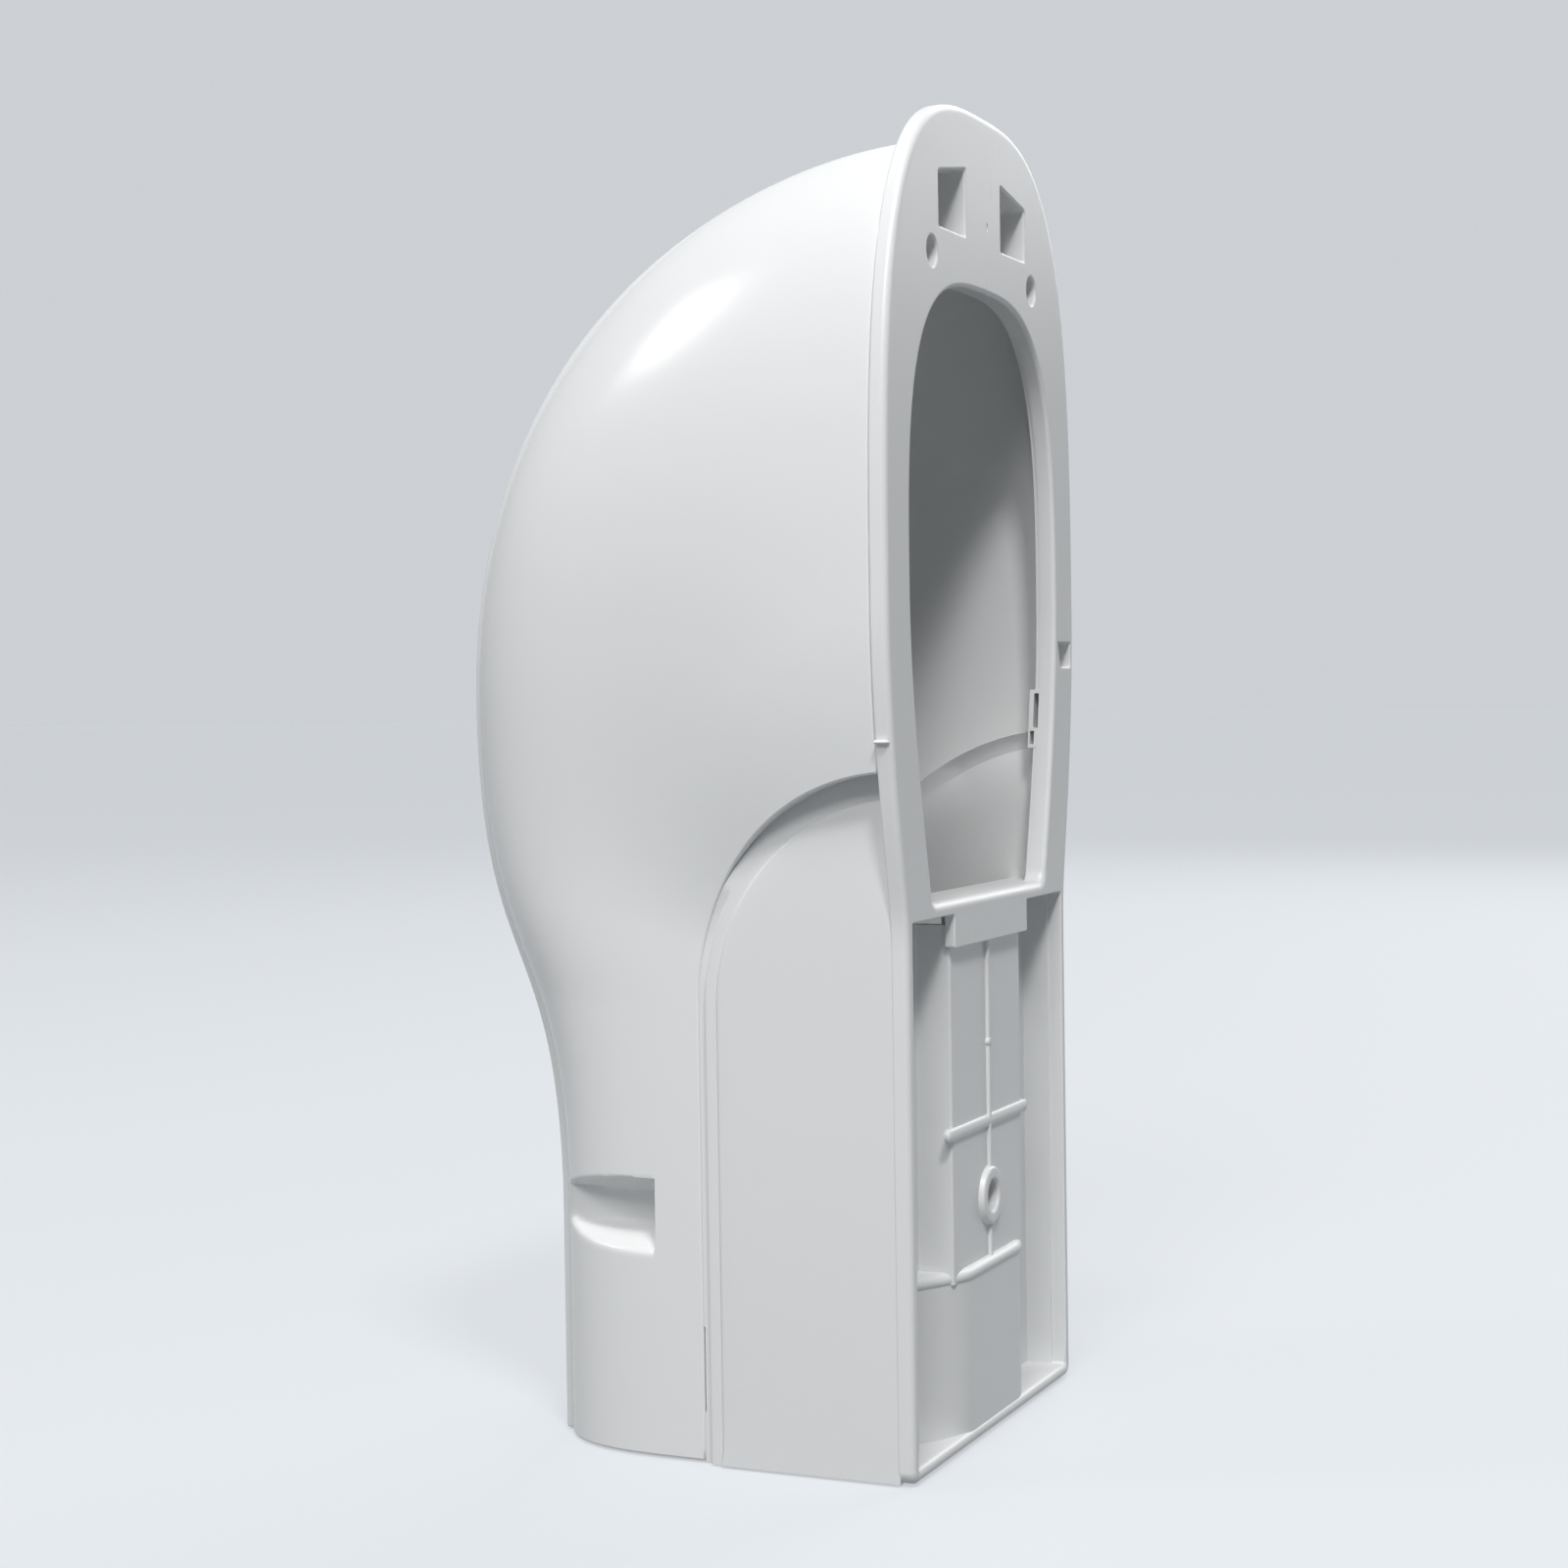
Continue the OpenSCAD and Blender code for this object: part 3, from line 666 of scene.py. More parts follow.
def opening_line(b):
    """Closed outline of the opening in x and z, from the middle of its foot round the right
    side to the top and back down the left: a rounded lower corner, a side that swells as a
    sine up to the widest height, and a superellipse over the top."""
    foot, low, corner = b.open_foot, b.open_z, b.open_round
    a = np.linspace(0, math.pi / 2, 7)
    turn = np.column_stack([foot - corner * (1 - np.sin(a)), low + corner * (1 - np.cos(a))])
    start = low + corner
    t = np.linspace(0, 1, 37)[1:, None]
    rise = np.hstack([foot + (b.open_half - foot) * np.sin(np.pi / 2 * t),
                      start + (b.open_wide_z - start) * t])
    head = oval_top(b.open_half, b.open_wide_z, b.open_top, b.open_square, 44)
    sill = np.column_stack([np.linspace(0, turn[0, 0], 9)[:-1], np.full(8, low)])
    return both_sides(np.concatenate([sill, turn, rise, head]))


def window_line(b, more=0.0, free=0.0):
    """Outline of one window: an upright four-sided hole whose top edge falls outwards. It
    grows by more at its foot and sides, and its top is lowered by free."""
    out = b.window_in + b.window_w
    fall = b.window_w * math.tan(math.radians(b.window_tilt))
    top = b.window_z + b.window_h - free
    return np.array([[b.window_in - more, b.window_z - more], [out + more, b.window_z - more],
                     [out + more, top - fall], [b.window_in - more, top]])


def flared(outline, back, front, r, share=1.0):
    """Cutter for a hole with a rounded mouth on the wall side: straight inside, and widened
    along a quarter circle of radius r times share at the height front."""
    rows = [(0, back)] + [(-inset, front, -drop) for inset, drop in quarter(r, 5)]
    return pillow(outline, rows + [(-r, front + 1)], ON_WALL, share)


def mirrored(points, faces):
    """A solid and its mirror image."""
    return joined([(points, faces), (points * [-1, 1, 1], [face[::-1] for face in faces])])


def frame_line(b):
    """Closed outline of the wall frame: two legs on a level foot, which swell as a sine into
    the plate, and a superellipse over the top. The leg runs over into the swell as the
    logarithm of a sum of exponentials, a rounded greater of the two."""
    leg, k, r = b.half + 0.12, 0.35, 2.2
    a = np.linspace(0, math.pi / 2, 9)
    turn = np.column_stack([leg - r + r * np.sin(a), r * (1 - np.cos(a))])
    z = np.concatenate([np.linspace(4.5, b.plate_z - 8, 12),
                        np.linspace(b.plate_z - 7, b.plate_wide_z, 50)])
    part = np.clip((z - b.plate_z) / (b.plate_wide_z - b.plate_z), -0.5, 1)
    swell = (b.plate_half - leg) * np.sin(np.pi / 2 * part)
    rise = np.column_stack([leg + k * np.log1p(np.exp(swell / k)), z])
    head = oval_top(b.plate_half, b.plate_wide_z, b.height, b.plate_square, 60)
    foot = np.column_stack([np.linspace(0, leg - r, 14)[:-1], np.zeros(13)])
    return both_sides(np.concatenate([foot, turn, rise, head]))


def gate_grooves():
    """Two fine lines and a round mark that the mould's gate leaves over the opening."""
    grooves = [pillow(circle(0.9, 28, *GATE_MARK), [(0.1, -0.07), (0, 0.5)], ON_WALL)]
    for (x0, z0), (x1, z1) in GATE_LINES:
        groove = np.array([[x0 - 0.2, z0], [x0 + 0.2, z0], [x1 + 0.2, z1], [x1 - 0.2, z1]])
        grooves.append(pillow(groove, [(0.15, -0.1), (0, 0.5)], ON_WALL))
    return joined(grooves)


class LINECOVER_OT_frame(bpy.types.Operator):
    """Builds the wall frame: the plate with its opening, windows, screw holes, notch and
    tab, and the legs and foot that run round the channels"""
    bl_idname = "linecover.frame"
    bl_label = "Wall Frame"

    def execute(self, context):
        _, _, b, k = all_sizes()
        front, through = -b.plate_t, -b.plate_t - 2
        rows = [(1, front), (0.3, front), (0.09, front + 0.09), (0, front + 0.3)]
        rows += rounded(b.plate_round, front + 0.4, 0, 6, both=False)
        piece = make_piece("wall_frame", *pillow(frame_line(b), rows, ON_WALL))

        # The mouth's rounding grows towards the foot of the opening and of the bay below it.
        opening = opening_line(b)
        sill = 1 + 0.9 * ease((b.open_z + 2.5 - opening[:, 1]) / 2.5)
        low, inner = k.lip_t, b.half - b.wall + 0.4
        tab, tab_z = b.tab_half, b.plate_z - b.tab_drop
        bay = np.array([[-inner, low], [inner, low], [inner, b.plate_z], [tab, b.plate_z],
                        [tab, tab_z], [-tab, tab_z], [-tab, b.plate_z], [-inner, b.plate_z]])
        bay = filled(corners_rounded(bay, 0.55), 3)
        bead = 1 + 2.2 * ease((low + 1.5 - bay[:, 1]) / 1.5)
        hole = circle(b.screw_d / 2, 48, b.screw_pitch / 2, b.screw_z)
        out, notch_top = b.notch_in - b.plate_half, b.notch_z + b.notch_h
        notch = corners_rounded(np.array([
            [out, b.notch_z], [out + b.notch_w - b.notch_lean, b.notch_z],
            [out + b.notch_w, notch_top], [out, notch_top]]), 0.45)
        # The tab hangs a hair in front of the strip and folds round its two sides.
        s, deep = k.strip_half + 0.25, -k.strip_y + 0.2
        relief = np.array([[-s, deep], [s, deep], [s, deep - 0.7], [tab + 1, deep - 0.7],
                           [tab + 1, through], [-tab - 1, through], [-tab - 1, deep - 0.7],
                           [-s, deep - 0.7]])
        cut(piece,
            make_piece("opening", *flared(opening, through, 0, 0.85, share=sill)),
            make_piece("bay", *flared(bay, through, 0, 0.3, share=bead)),
            make_piece("relief", *pillow(relief, [(0, tab_z - 1), (0, b.plate_z - 0.3)])),
            make_piece("gate_marks", *gate_grooves()),
            make_piece("windows", *mirrored(*flared(corners_rounded(window_line(b), 0.4),
                                                    through, 0, 0.45))),
            make_piece("holes", *mirrored(*flared(hole, through, 0, 0.45))),
            make_piece("notch", *flared(notch, -b.notch_depth, 0, 0.3)))
        settle_base(piece, 45)

        # A low lip stands round the opening on the cover's side.
        section = [(0.25, 0.2), (0.25, -0.75), (0.4, -0.9), (1.2, -0.9), (1.35, -0.75),
                   (1.35, 0.2)]
        piece = make_piece("opening_lip", *ring(
            opening, opening, [(1, inset, front + rise) for inset, rise in section], ON_WALL))
        cut(piece, make_piece("keeper_room", *mirrored(*pillow(
            box_line(b.open_foot, b.open_half + 3, KEEPER_LOW + 0.2, KEEPER_HIGH - 0.2),
            [(0, front - 2), (0, front - 0.02)], ON_WALL))))
        settle_base(piece, 40)
        return {"FINISHED"}


class LINECOVER_OT_marks(bpy.types.Operator):
    """Builds the latch keepers beside the opening and the parting ridge across the rim"""
    bl_idname = "linecover.marks"
    bl_label = "Keepers and Marks"

    def execute(self, context):
        _, _, b, _ = all_sizes()
        front = -b.plate_t

        def edge_x(z):
            """Half width of the opening at a height."""
            low = b.open_z + b.open_round
            return b.open_foot + (b.open_half - b.open_foot) * np.sin(
                np.pi / 2 * (z - low) / (b.open_wide_z - low))

        def slab(y0, y1, z0, z1, x0, x1):
            """A pair of boxes that lean with the opening's edge, from x0 to x1 outside it."""
            line = corners_rounded(box_line(y0, y1, z0, z1), 0.15)
            rise = edge_x(z1) - edge_x(z0)
            share = (line[:, 1] - z0) / (z1 - z0)
            return mirrored(*pillow(line, [(0, edge_x(z0) + x0, rise),
                                           (0, edge_x(z0) + x1, rise)], ON_SIDE, share))

        block = slab(front - 1.8, front + 0.3, KEEPER_LOW, KEEPER_HIGH, 0.12, 4)
        nub = slab(front - 0.9, front + 1.4, 120.35, 120.75, -0.2, 1)
        upper = slab(front - 0.95, front - 0.02, 120.8, KEEPER_HIGH - 0.7, -1, 3.4)
        lower = slab(front - 1.5, front - 0.7, KEEPER_LOW + 0.6, 120.3, -1, 3.4)
        piece = make_piece("latch_keepers", *joined([block, nub]))
        cut(piece, make_piece("slots", *joined([upper, lower])))
        settle_base(piece, 40)

        # The ridge crosses the rim at right angles, as a low bead carried along y that
        # shrinks towards the wall.
        a = np.linspace(0, math.pi, 9)
        bead = np.column_stack([0.75 * np.sin(a), 0.35 * np.cos(a)])
        rings = np.stack([np.column_stack([
            b.plate_half - 1.5 + bead[:, 0] * size, np.full(9, y), RIDGE_Z + bead[:, 1] * size])
            for y, size in ((front + 0.1, 1), (-1.0, 1), (-0.45, 0.3))])
        settle_base(make_piece("parting_ridges", *mirrored(*swept(rings))))
        return {"FINISHED"}


class LINECOVER_OT_collars(bpy.types.Operator):
    """Builds the collars that reach in round the two windows"""
    bl_idname = "linecover.collars"
    bl_label = "Window Collars"

    def execute(self, context):
        _, _, b, _ = all_sizes()
        inner = corners_rounded(window_line(b), 0.4)
        outer = corners_rounded(window_line(b, b.window_wall, 0.1), 0.6)
        low = -b.window_depth
        rows = [(0, 0, -b.plate_t + 0.5), (0, 0, low + 0.3), (0, 0.3, low), (1, 0.3, low),
                (1, 0, low + 0.3), (1, 0, -b.plate_t), (1, 0.5, -b.plate_t + 0.5)]
        settle_base(make_piece("window_collars", *mirrored(*ring(outer, inner, rows, ON_WALL))))
        return {"FINISHED"}


class LINECOVER_OT_cheeks(bpy.types.Operator):
    """Builds the two side cheeks with their rounded arch, and the tongues beside them"""
    bl_idname = "linecover.cheeks"
    bl_label = "Cheeks"

    def execute(self, context):
        c, _, b, _ = all_sizes()
        rear, reach = b.plate_t - 0.4, b.cheek_rise
        a = np.linspace(0, math.acos(rear / reach), 65)
        arch = np.column_stack([-reach * np.cos(a), b.arch_z + reach * np.sin(a)])
        front = np.column_stack([np.full(24, -reach), np.linspace(0, b.arch_z, 25)[:-1]])
        back = np.column_stack([np.full(24, -rear), np.linspace(arch[-1, 1], 0, 25)[1:]])
        foot = np.column_stack([np.linspace(-rear, -reach, 16)[1:-1], np.zeros(14)])
        line = np.concatenate([front, arch, back, foot])
        # The outer edge is rounded along the front and the arch alone.
        share = np.where((line[:, 0] > -rear - 0.1) | (line[:, 1] < 0.1), 0.06, 1.0)
        r, fall = b.cheek_round, b.cheek_drop
        inner = b.half - b.wall - 0.05
        rows = [(3.5, inner), (3, inner), (3, inner + 1.4), (0, inner + 1.4)]
        rows += [(inset, b.half, -fall - drop) for inset, drop in quarter(r)]
        rows += [(r + b.cheek_soft * v, b.half, -fall * (1 - v) ** 2)
                 for v in np.linspace(0, 1, 7)[1:]]
        rows += [(r + b.cheek_soft + 0.5, b.half)]
        settle_base(make_piece("cheeks", *mirrored(*pillow(line, rows, ON_SIDE, share))), 40)
        settle_base(make_piece("tongues", *mirrored(*swept(tongue_rings(c, b)))), 20)
        return {"FINISHED"}


def tongue_rings(c, b):
    """Sections of the ledge and tongue beside the cheek, which run up the front edge and
    over the arch. Outside, the ledge lies a little below the cheek's face, drops to the
    cover's face in the gap and goes in behind the cover's wall. Its inner face bends out of
    the cheek's inner face as t^2.4 and bends in again under a low bead along its tip. The
    cover's edge all but touches the ledge, except for a slit above the foot."""
    low = np.array([0, SLIT_LOW - 0.4, SLIT_LOW, SLIT_HIGH, SLIT_HIGH + 0.4])
    fan = np.concatenate([0 * low, np.linspace(0, 90, 73), [90]])
    turn = np.radians(fan)
    edge, brink = out_to(b, b.edge_r, turn), out_to(b, b.cheek_depth, turn)
    share, mid, here = section_sizes(c, b, fan)

    def face(r):
        """Half width of the cover's face at a distance from the axis."""
        return c.side + (c.dome_half - c.side) * share - tucked(b, share, 1 - (mid - r) / here)

    flat = np.zeros_like(edge)
    ledge = b.half - b.tongue_in
    inset = c.wall + b.clearance
    step = np.minimum(ledge, face(edge) - 0.1)
    under = np.minimum(ledge, face(edge) - inset)
    first = edge + b.tongue_reach - 0.7
    tip = first + b.tongue_lead
    at_first, at_tip = (np.minimum(face(r) - inset, ledge + 2) for r in (first, tip))
    inner = at_first - b.tongue
    cheek = b.half - b.wall - 0.02
    e = np.minimum(0.35, ledge - step)
    gap = flat + 0.1
    gap[2:4] = 0.32
    # From the ledge over its edge into the gap, and along the outside to the tip.
    section = [(ledge + flat, out_to(b, 30, turn)), (ledge + flat, brink - e),
               (ledge - 0.3 * e, brink - 0.3 * e), (ledge - e, brink),
               (step, brink + 0.05), (step, edge - gap),
               (under, edge - gap + 0.05), (under, edge + 0.2), (at_first, first), (at_tip, tip),
               (at_tip - b.tongue - 0.75, tip), (at_tip - b.tongue - 0.9, tip - 0.15)]
    # Back along the inside: the bead's bend, the cove, and the root in the cheek.
    section += [(inner + (at_tip - at_first - 0.8) * t * t, first + (tip - first - 0.4) * t)
                for t in np.linspace(1, 0, 7)]
    root = out_to(b, b.cheek_rise - 2.9, turn)
    section += [(cheek + (inner - cheek) * (1 - t) ** 2.4, first - 0.12 + (root - first) * t)
                for t in np.linspace(0, 1, 16)[1:]]
    section += [(cheek + flat, out_to(b, 20, turn)),
                (b.half - b.wall / 2 + flat, out_to(b, 19, turn))]
    z = flat + b.arch_z
    z[:len(low)] = low
    shift = flat.copy()
    shift[-1] = b.plate_t / 2
    return np.stack([np.stack([px, shift - b.rear - pr * np.cos(turn), z + pr * np.sin(turn)], 1)
                     for px, pr in section], 1)


def channel_line(b, k):
    """Closed outline in x and y of the channel back: floor, raised strip and floor again on
    the wall side, and the same moved in by the wall on the other side."""
    out, w, s = b.half - b.wall / 2, b.wall, k.strip_half
    draft = 0.25
    front = [[out, -k.floor_y], [s + draft, -k.floor_y], [s, -k.strip_y], [-s, -k.strip_y],
             [-s - draft, -k.floor_y], [-out, -k.floor_y]]
    back = [[-out, -k.floor_y - w], [-s + w, -k.floor_y - w], [-s + w, -k.strip_y - w],
            [s - w, -k.strip_y - w], [s - w, -k.floor_y - w], [out, -k.floor_y - w]]
    return corners_rounded(np.array(front + back, float), k.crease, 4)


def foot_depth_at(x, k):
    """Depth of the curved foot wall: level in the middle, then a smooth fall to the floor."""
    return k.floor_y * ease((np.abs(x) - k.foot_flat) / (k.foot_run - k.foot_flat))


class LINECOVER_OT_channel(bpy.types.Operator):
    """Builds the channel back with its centre strip, shelf, lip and curved foot wall"""
    bl_idname = "linecover.channel"
    bl_label = "Channel Back"

    def execute(self, context):
        _, _, b, k = all_sizes()
        out, back = b.half - b.wall / 2, -k.floor_y - b.wall
        body = make_piece("channel_back", *pillow(
            channel_line(b, k), [(0, 0.2), (0, b.plate_z + 0.5)]))
        slots = mirrored(*pillow(box_line(
            k.strip_half - b.wall - 0.3, b.half - b.wall - 0.6, b.plate_z - k.slot_h,
            b.plate_z + 0.05), [(0, back - 1), (0, 1)], ON_WALL))
        hole = flared(circle(b.low_screw_d / 2, 48, 0, b.boss_z), back, 1, 0.4)
        strip_foot = pillow(box_line(-k.strip_half - 1, k.strip_half + 1, -1, k.foot_h - 2),
                            [(0, -k.floor_y), (0, 1)], ON_WALL)
        cut(body, make_piece("slots", *slots), make_piece("hole", *hole),
            make_piece("strip_foot", *strip_foot))
        settle_base(body, 40)

        front = -b.plate_t + 0.05
        settle_base(make_piece("bottom_lip", *pillow(
            box_line(-out, out, back + 0.3, front), [(0, 0.02), (0, k.lip_t - 0.02)])))
        settle_base(make_piece("opening_shelf", *pillow(
            box_line(-out, out, back - 0.05, front),
            rounded(0.3, b.plate_z + 0.02, b.open_z - 0.03))))

        # The foot wall stands a hair inside the wall plane, under a half round bead.
        hair = 0.35
        x = np.linspace(-k.foot_run, k.foot_run, 121)
        face = np.column_stack([x, -hair - foot_depth_at(x, k)])
        wall = np.concatenate([face, (face - [0, b.wall])[::-1]])
        ledge = np.concatenate([face, [[k.foot_run, back], [-k.foot_run, back]]])
        in_front = (np.arange(len(ledge)) < len(face))[:, None]
        bead = []
        for t in np.linspace(-math.pi / 2, math.pi / 2, 13):
            lift = b.wall / 2 * (1 + math.sin(t))
            inset = b.wall / 2 * (1 - math.cos(t)) - hair * math.cos(t)
            bead.append(np.column_stack([ledge - inset * in_front * outward(ledge),
                                         np.full(len(ledge), k.foot_h - b.wall + lift)]))
        piece = make_piece("foot_wall", *joined([
            pillow(wall, [(0, 0.5), (0, k.foot_h - 1)]), swept(np.stack(bead))]))
        settle_base(piece, 50)
        return {"FINISHED"}


class LINECOVER_OT_ribs(bpy.types.Operator):
    """Builds the ribs and the screw boss on the centre strip"""
    bl_idname = "linecover.ribs"
    bl_label = "Ribs and Boss"

    def execute(self, context):
        _, _, b, k = all_sizes()
        a = np.linspace(0, math.pi / 2, 7)
        strip = -k.strip_y
        low, top = strip - 0.6, strip + k.rib_h

        # The level rib has round ends, and both ribs have a quarter round along each side.
        r, w = k.level_rib_w / 2, k.rib_w / 2
        turn = np.linspace(-math.pi / 2, math.pi / 2, 13)
        end = np.column_stack([k.level_rib_half + r * np.cos(turn),
                               k.level_rib_z + r * np.sin(turn)])
        level = pillow(np.concatenate([end, (end * [-1, 1])[::-1]]), [(0, low)] + [
            (r * (1 - math.cos(t)) * 0.98, strip + k.rib_h * math.sin(t)) for t in a], ON_WALL)
        upright = pillow(
            box_line(-w, w, k.foot_h - 1, b.plate_z - b.tab_drop + 1), [(0, low)] + [
                (w * (1 - math.cos(t)) * 0.9, top - 0.5 + 0.5 * math.sin(t)) for t in a], ON_WALL)
        pin = pillow(circle(0.8, 20, 0, PIN_Z), [
            (0, low), (0, top - 0.1), (0.25, top + 0.1), (0.7, top + 0.14)], ON_WALL)
        piece = make_piece("strip_ribs", *joined([level, upright, pin]))
        cut(piece, make_piece("hole", *pillow(circle(b.boss_d / 2 - 1, 32, 0, b.boss_z),
                                              [(0, low - 3), (0, 2)], ON_WALL)))
        settle_base(piece)

        e, face = 0.55, strip + b.boss_h
        outer, inner = (circle(d / 2, 64, 0, b.boss_z) for d in (b.boss_d, b.low_screw_d))
        rows = [(0, -0.5, low)] + [(0, inset, face - drop) for inset, drop in quarter(e)]
        rows += [(1, drop, face - inset) for inset, drop in quarter(e)]
        rows += [(1, 0, strip - b.wall), (1, 0.5, strip - b.wall)]
        settle_base(make_piece("screw_boss", *ring(outer, inner, rows, ON_WALL)))
        return {"FINISHED"}


# Materials --------------------------------------------------------------------------------

def linear(code):
    """An sRGB hex colour as linear red, green, blue and a full alpha."""
    parts = np.array([int(code.lstrip("#")[i:i + 2], 16) for i in (0, 2, 4)]) / 255
    value = np.where(parts <= 0.04045, parts / 12.92, ((parts + 0.055) / 1.055) ** 2.4)
    return (*value, 1.0)


def dimmed(colour, factor):
    """A linear colour with its red, green and blue multiplied by a factor."""
    return (*(v * factor for v in colour[:3]), 1.0)


def add_node(tree, kind, settings=None, **links):
    """Adds a node, sets its attributes and unlinked sockets, and links its other sockets."""
    node = tree.nodes.new(kind)
    for key, value in (settings or {}).items():
        if key in node.inputs:
            node.inputs[key].default_value = value
        else:
            setattr(node, key, value)
    for key, source in links.items():
        tree.links.new(source, node.inputs[key.replace("_", " ")])
    return node


def new_material(name):
    """An empty node material."""
    material = bpy.data.materials.get(name) or bpy.data.materials.new(name)
    material.use_nodes = True
    material.node_tree.nodes.clear()
    return material, material.node_tree


def plastic(which):
    """Gloss white ABS, injection moulded in a polished mould: a clear even gloss over a
    dense white body, with the faint orange peel of the polished steel and a slightly
    duller skin where handling and the mould's release have touched it."""
    look = bpy.context.scene.linecover_look
    name = "gloss_white_abs_" + which
    if name in bpy.data.materials:
        return bpy.data.materials[name]
    material, tree = new_material(name)
    body = linear(look.cover_paint if which == "cover" else look.base_paint)
    place = add_node(tree, "ShaderNodeTexCoord").outputs["Object"]
    # The plastic's flow leaves very faint clouds about 35 mm across.
    cloud = add_node(tree, "ShaderNodeTexNoise", {"Scale": 28.0, "Detail": 2.0}, Vector=place)
    tint = add_node(tree, "ShaderNodeMixRGB", {"Color1": body, "Color2": dimmed(body, 0.985)},
                    Fac=cloud.outputs["Fac"])
    # Orange peel of a polished mould, about 4 mm from crest to crest.
    peel = add_node(tree, "ShaderNodeTexNoise", {"Scale": 260.0, "Detail": 0.0}, Vector=place)
    # The duller skin lies in patches about 11 mm across.
    rough = 0.22 if which == "cover" else 0.34
    skin = add_node(tree, "ShaderNodeTexNoise", {"Scale": 90.0, "Detail": 3.0}, Vector=place)
    gloss = add_node(tree, "ShaderNodeMapRange", {
        "To Min": rough - 0.015, "To Max": rough + 0.02}, Value=skin.outputs["Fac"])
    bump = add_node(tree, "ShaderNodeBump", {"Strength": 0.04, "Distance": 0.00002},
                    Height=peel.outputs["Fac"])
    shader = add_node(tree, "ShaderNodeBsdfPrincipled", {"IOR": 1.53},
                      Base_Color=tint.outputs["Color"], Roughness=gloss.outputs["Result"],
                      Normal=bump.outputs["Normal"])
    add_node(tree, "ShaderNodeOutputMaterial", Surface=shader.outputs["BSDF"])
    return material


def studio_paper(name, code):
    """Matt studio paper: an even sheet with no gloss, that looks pale to the camera and in
    reflections and throws only a little light back on the object."""
    material, tree = new_material(name)
    colour = linear(code)
    glow = add_node(tree, "ShaderNodeMath", {"operation": "MULTIPLY"})
    tree.links.new(seen_directly(tree), glow.inputs[0])
    glow.inputs[1].default_value = PAPER_GLOW
    shader = add_node(tree, "ShaderNodeBsdfPrincipled", {
        "Base Color": dimmed(colour, PAPER_SHARE), "Roughness": 0.85,
        "Emission Color": colour}, Emission_Strength=glow.outputs[0])
    add_node(tree, "ShaderNodeOutputMaterial", Surface=shader.outputs["BSDF"])
    return material


def seen_directly(tree):
    """A socket that is 1 for camera rays and mirror rays and 0 for all others."""
    path = add_node(tree, "ShaderNodeLightPath")
    seen = add_node(tree, "ShaderNodeMath", {"operation": "MAXIMUM"})
    tree.links.new(path.outputs["Is Camera Ray"], seen.inputs[0])
    tree.links.new(path.outputs["Is Glossy Ray"], seen.inputs[1])
    return seen.outputs[0]


# Studio -----------------------------------------------------------------------------------

def area_light(name, place, target, size, power):
    """A square soft light that faces its target."""
    lamp = bpy.data.lights.new(name, "AREA")
    lamp.size = size
    lamp.energy = power
    light = bpy.data.objects.new(name, lamp)
    bpy.context.scene.collection.objects.link(light)
    light.location = place
    light.rotation_euler = (Vector(target) - Vector(place)).to_track_quat("-Z", "Y").to_euler()


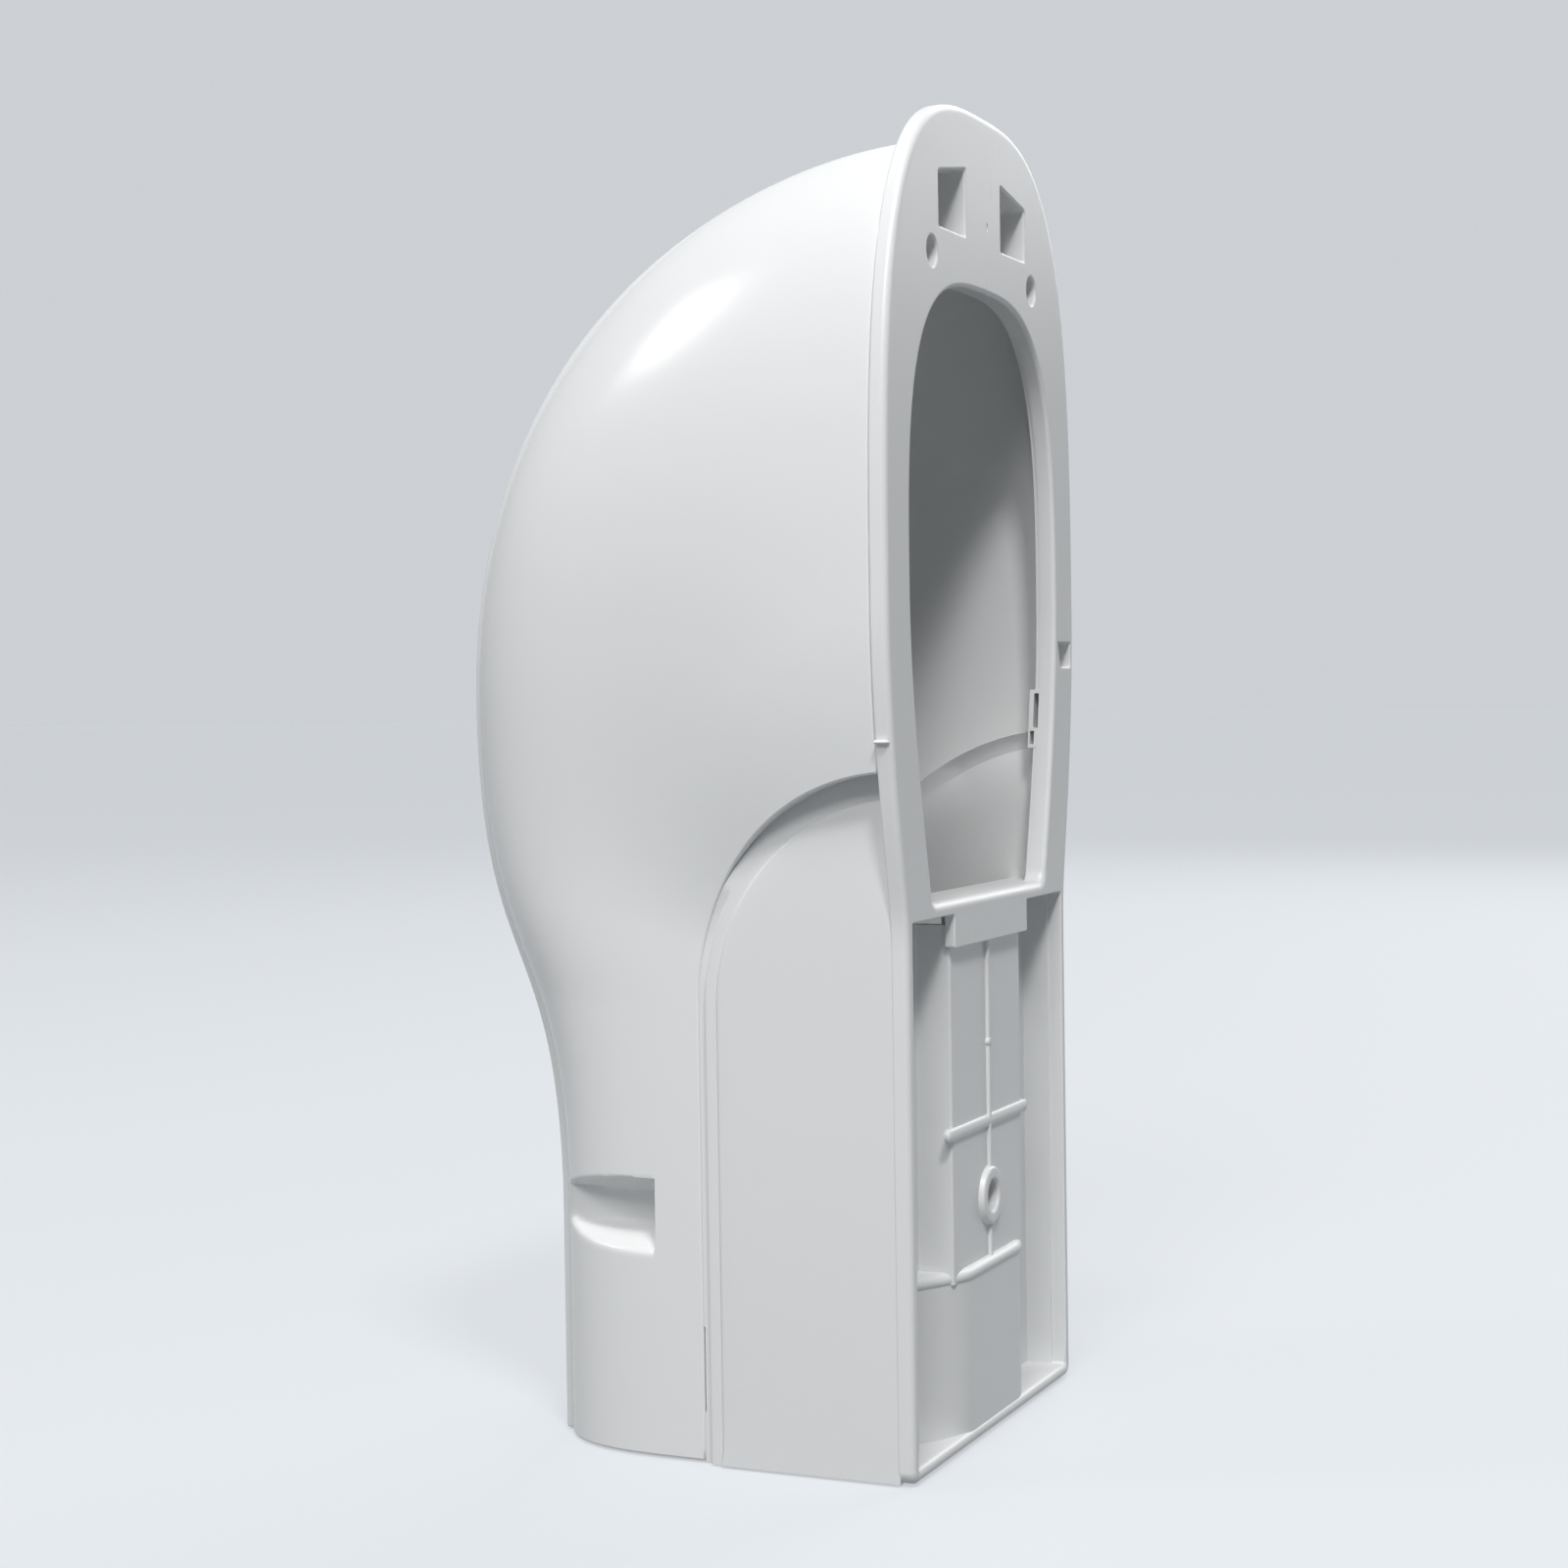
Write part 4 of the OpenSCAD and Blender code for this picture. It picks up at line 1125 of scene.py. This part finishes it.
class LINECOVER_OT_stage(bpy.types.Operator):
    """Builds the paper floor, the lights, the world and the camera"""
    bl_idname = "linecover.stage"
    bl_label = "Studio"

    def execute(self, context):
        scene = context.scene
        look = scene.linecover_look
        # A wide flat sheet that runs out of sight and meets the backdrop in the same tone.
        far, under = 3e4, -0.4
        corners = np.array([[x, y, under] for x in (-far, far) for y in (-far, far)])
        paper = make_piece("paper_floor", corners, [[0, 1, 3, 2]])
        paper.data.materials.append(studio_paper("matt_paper", look.floor_paint))

        for name, turn, rise, size, strength, power in LAMPS:
            turn, rise = math.radians(turn), math.radians(rise)
            way = Vector((math.cos(rise) * math.cos(turn), math.cos(rise) * math.sin(turn),
                          math.sin(rise)))
            area_light(name, LAMP_DISTANCE * way + Vector(LAMP_CENTRE), LAMP_TARGET, size,
                       power * getattr(look, strength))

        world = bpy.data.worlds.new("pale_studio")
        scene.world = world
        world.use_nodes = True
        tree = world.node_tree
        tree.nodes.clear()
        dim = add_node(tree, "ShaderNodeBackground", {
            "Color": (0.93, 0.96, 1, 1), "Strength": SKY_STRENGTH})
        pale = add_node(tree, "ShaderNodeBackground", {
            "Color": linear(look.floor_paint), "Strength": BACKDROP_GLOW})
        mix = add_node(tree, "ShaderNodeMixShader", Fac=seen_directly(tree))
        tree.links.new(dim.outputs[0], mix.inputs[1])
        tree.links.new(pale.outputs[0], mix.inputs[2])
        add_node(tree, "ShaderNodeOutputWorld", Surface=mix.outputs[0])
        scene.view_settings.view_transform = "Standard"

        # The view is turned by the yaw, lowered by the pitch and tilted a little by the roll.
        yaw, pitch, roll = CAMERA_YAW, CAMERA_PITCH, CAMERA_ROLL
        ahead = Vector((-math.cos(yaw), -math.sin(yaw), 0))
        right = Vector((-math.sin(yaw), math.cos(yaw), 0))
        up = Vector((0, 0, 1))
        look_at = ahead * math.cos(pitch) + up * math.sin(pitch)
        above = -ahead * math.sin(pitch) + up * math.cos(pitch)
        level = right * math.cos(roll) + above * math.sin(roll)
        above = -right * math.sin(roll) + above * math.cos(roll)
        lens = bpy.data.cameras.new("camera")
        lens.lens, lens.sensor_width = LENS, SENSOR
        lens.clip_start, lens.clip_end = 0.01, 50
        camera = bpy.data.objects.new("camera", lens)
        turn = Matrix((level, above, -look_at)).transposed().to_4x4()
        camera.matrix_world = Matrix.Translation(CAMERA_PLACE) @ turn
        scene.collection.objects.link(camera)
        scene.camera = camera
        return {"FINISHED"}


# Panel and registration -------------------------------------------------------------------

STEPS = ("cover", "frame", "collars", "cheeks", "channel", "ribs", "marks", "stage")
GROUPS = {"linecover_cover": LINECOVER_PG_cover, "linecover_grip": LINECOVER_PG_grip,
          "linecover_base": LINECOVER_PG_base, "linecover_channel": LINECOVER_PG_channel,
          "linecover_look": LINECOVER_PG_look}


class LINECOVER_PT_panel(bpy.types.Panel):
    """Lists the pieces of the cover and their sizes."""
    bl_label = "Line Set Cover"
    bl_idname = "LINECOVER_PT_panel"
    bl_space_type = "VIEW_3D"
    bl_region_type = "UI"
    bl_category = "Line Cover"

    def draw(self, context):
        for step in STEPS:
            self.layout.operator("linecover." + step)
        for key in GROUPS:
            box = self.layout.box()
            group = getattr(context.scene, key)
            for name in group.__annotations__:
                box.prop(group, name)


CLASSES = (*GROUPS.values(), LINECOVER_OT_cover, LINECOVER_OT_frame, LINECOVER_OT_collars,
           LINECOVER_OT_cheeks, LINECOVER_OT_channel, LINECOVER_OT_ribs, LINECOVER_OT_marks,
           LINECOVER_OT_stage, LINECOVER_PT_panel)


def register():
    for cls in CLASSES:
        bpy.utils.register_class(cls)
    for key, group in GROUPS.items():
        setattr(bpy.types.Scene, key, PointerProperty(type=group))


def unregister():
    for key in GROUPS:
        delattr(bpy.types.Scene, key)
    for cls in reversed(CLASSES):
        bpy.utils.unregister_class(cls)


def main():
    register()
    for step in STEPS:
        getattr(bpy.ops.linecover, step)()


if __name__ == "__main__":
    main()
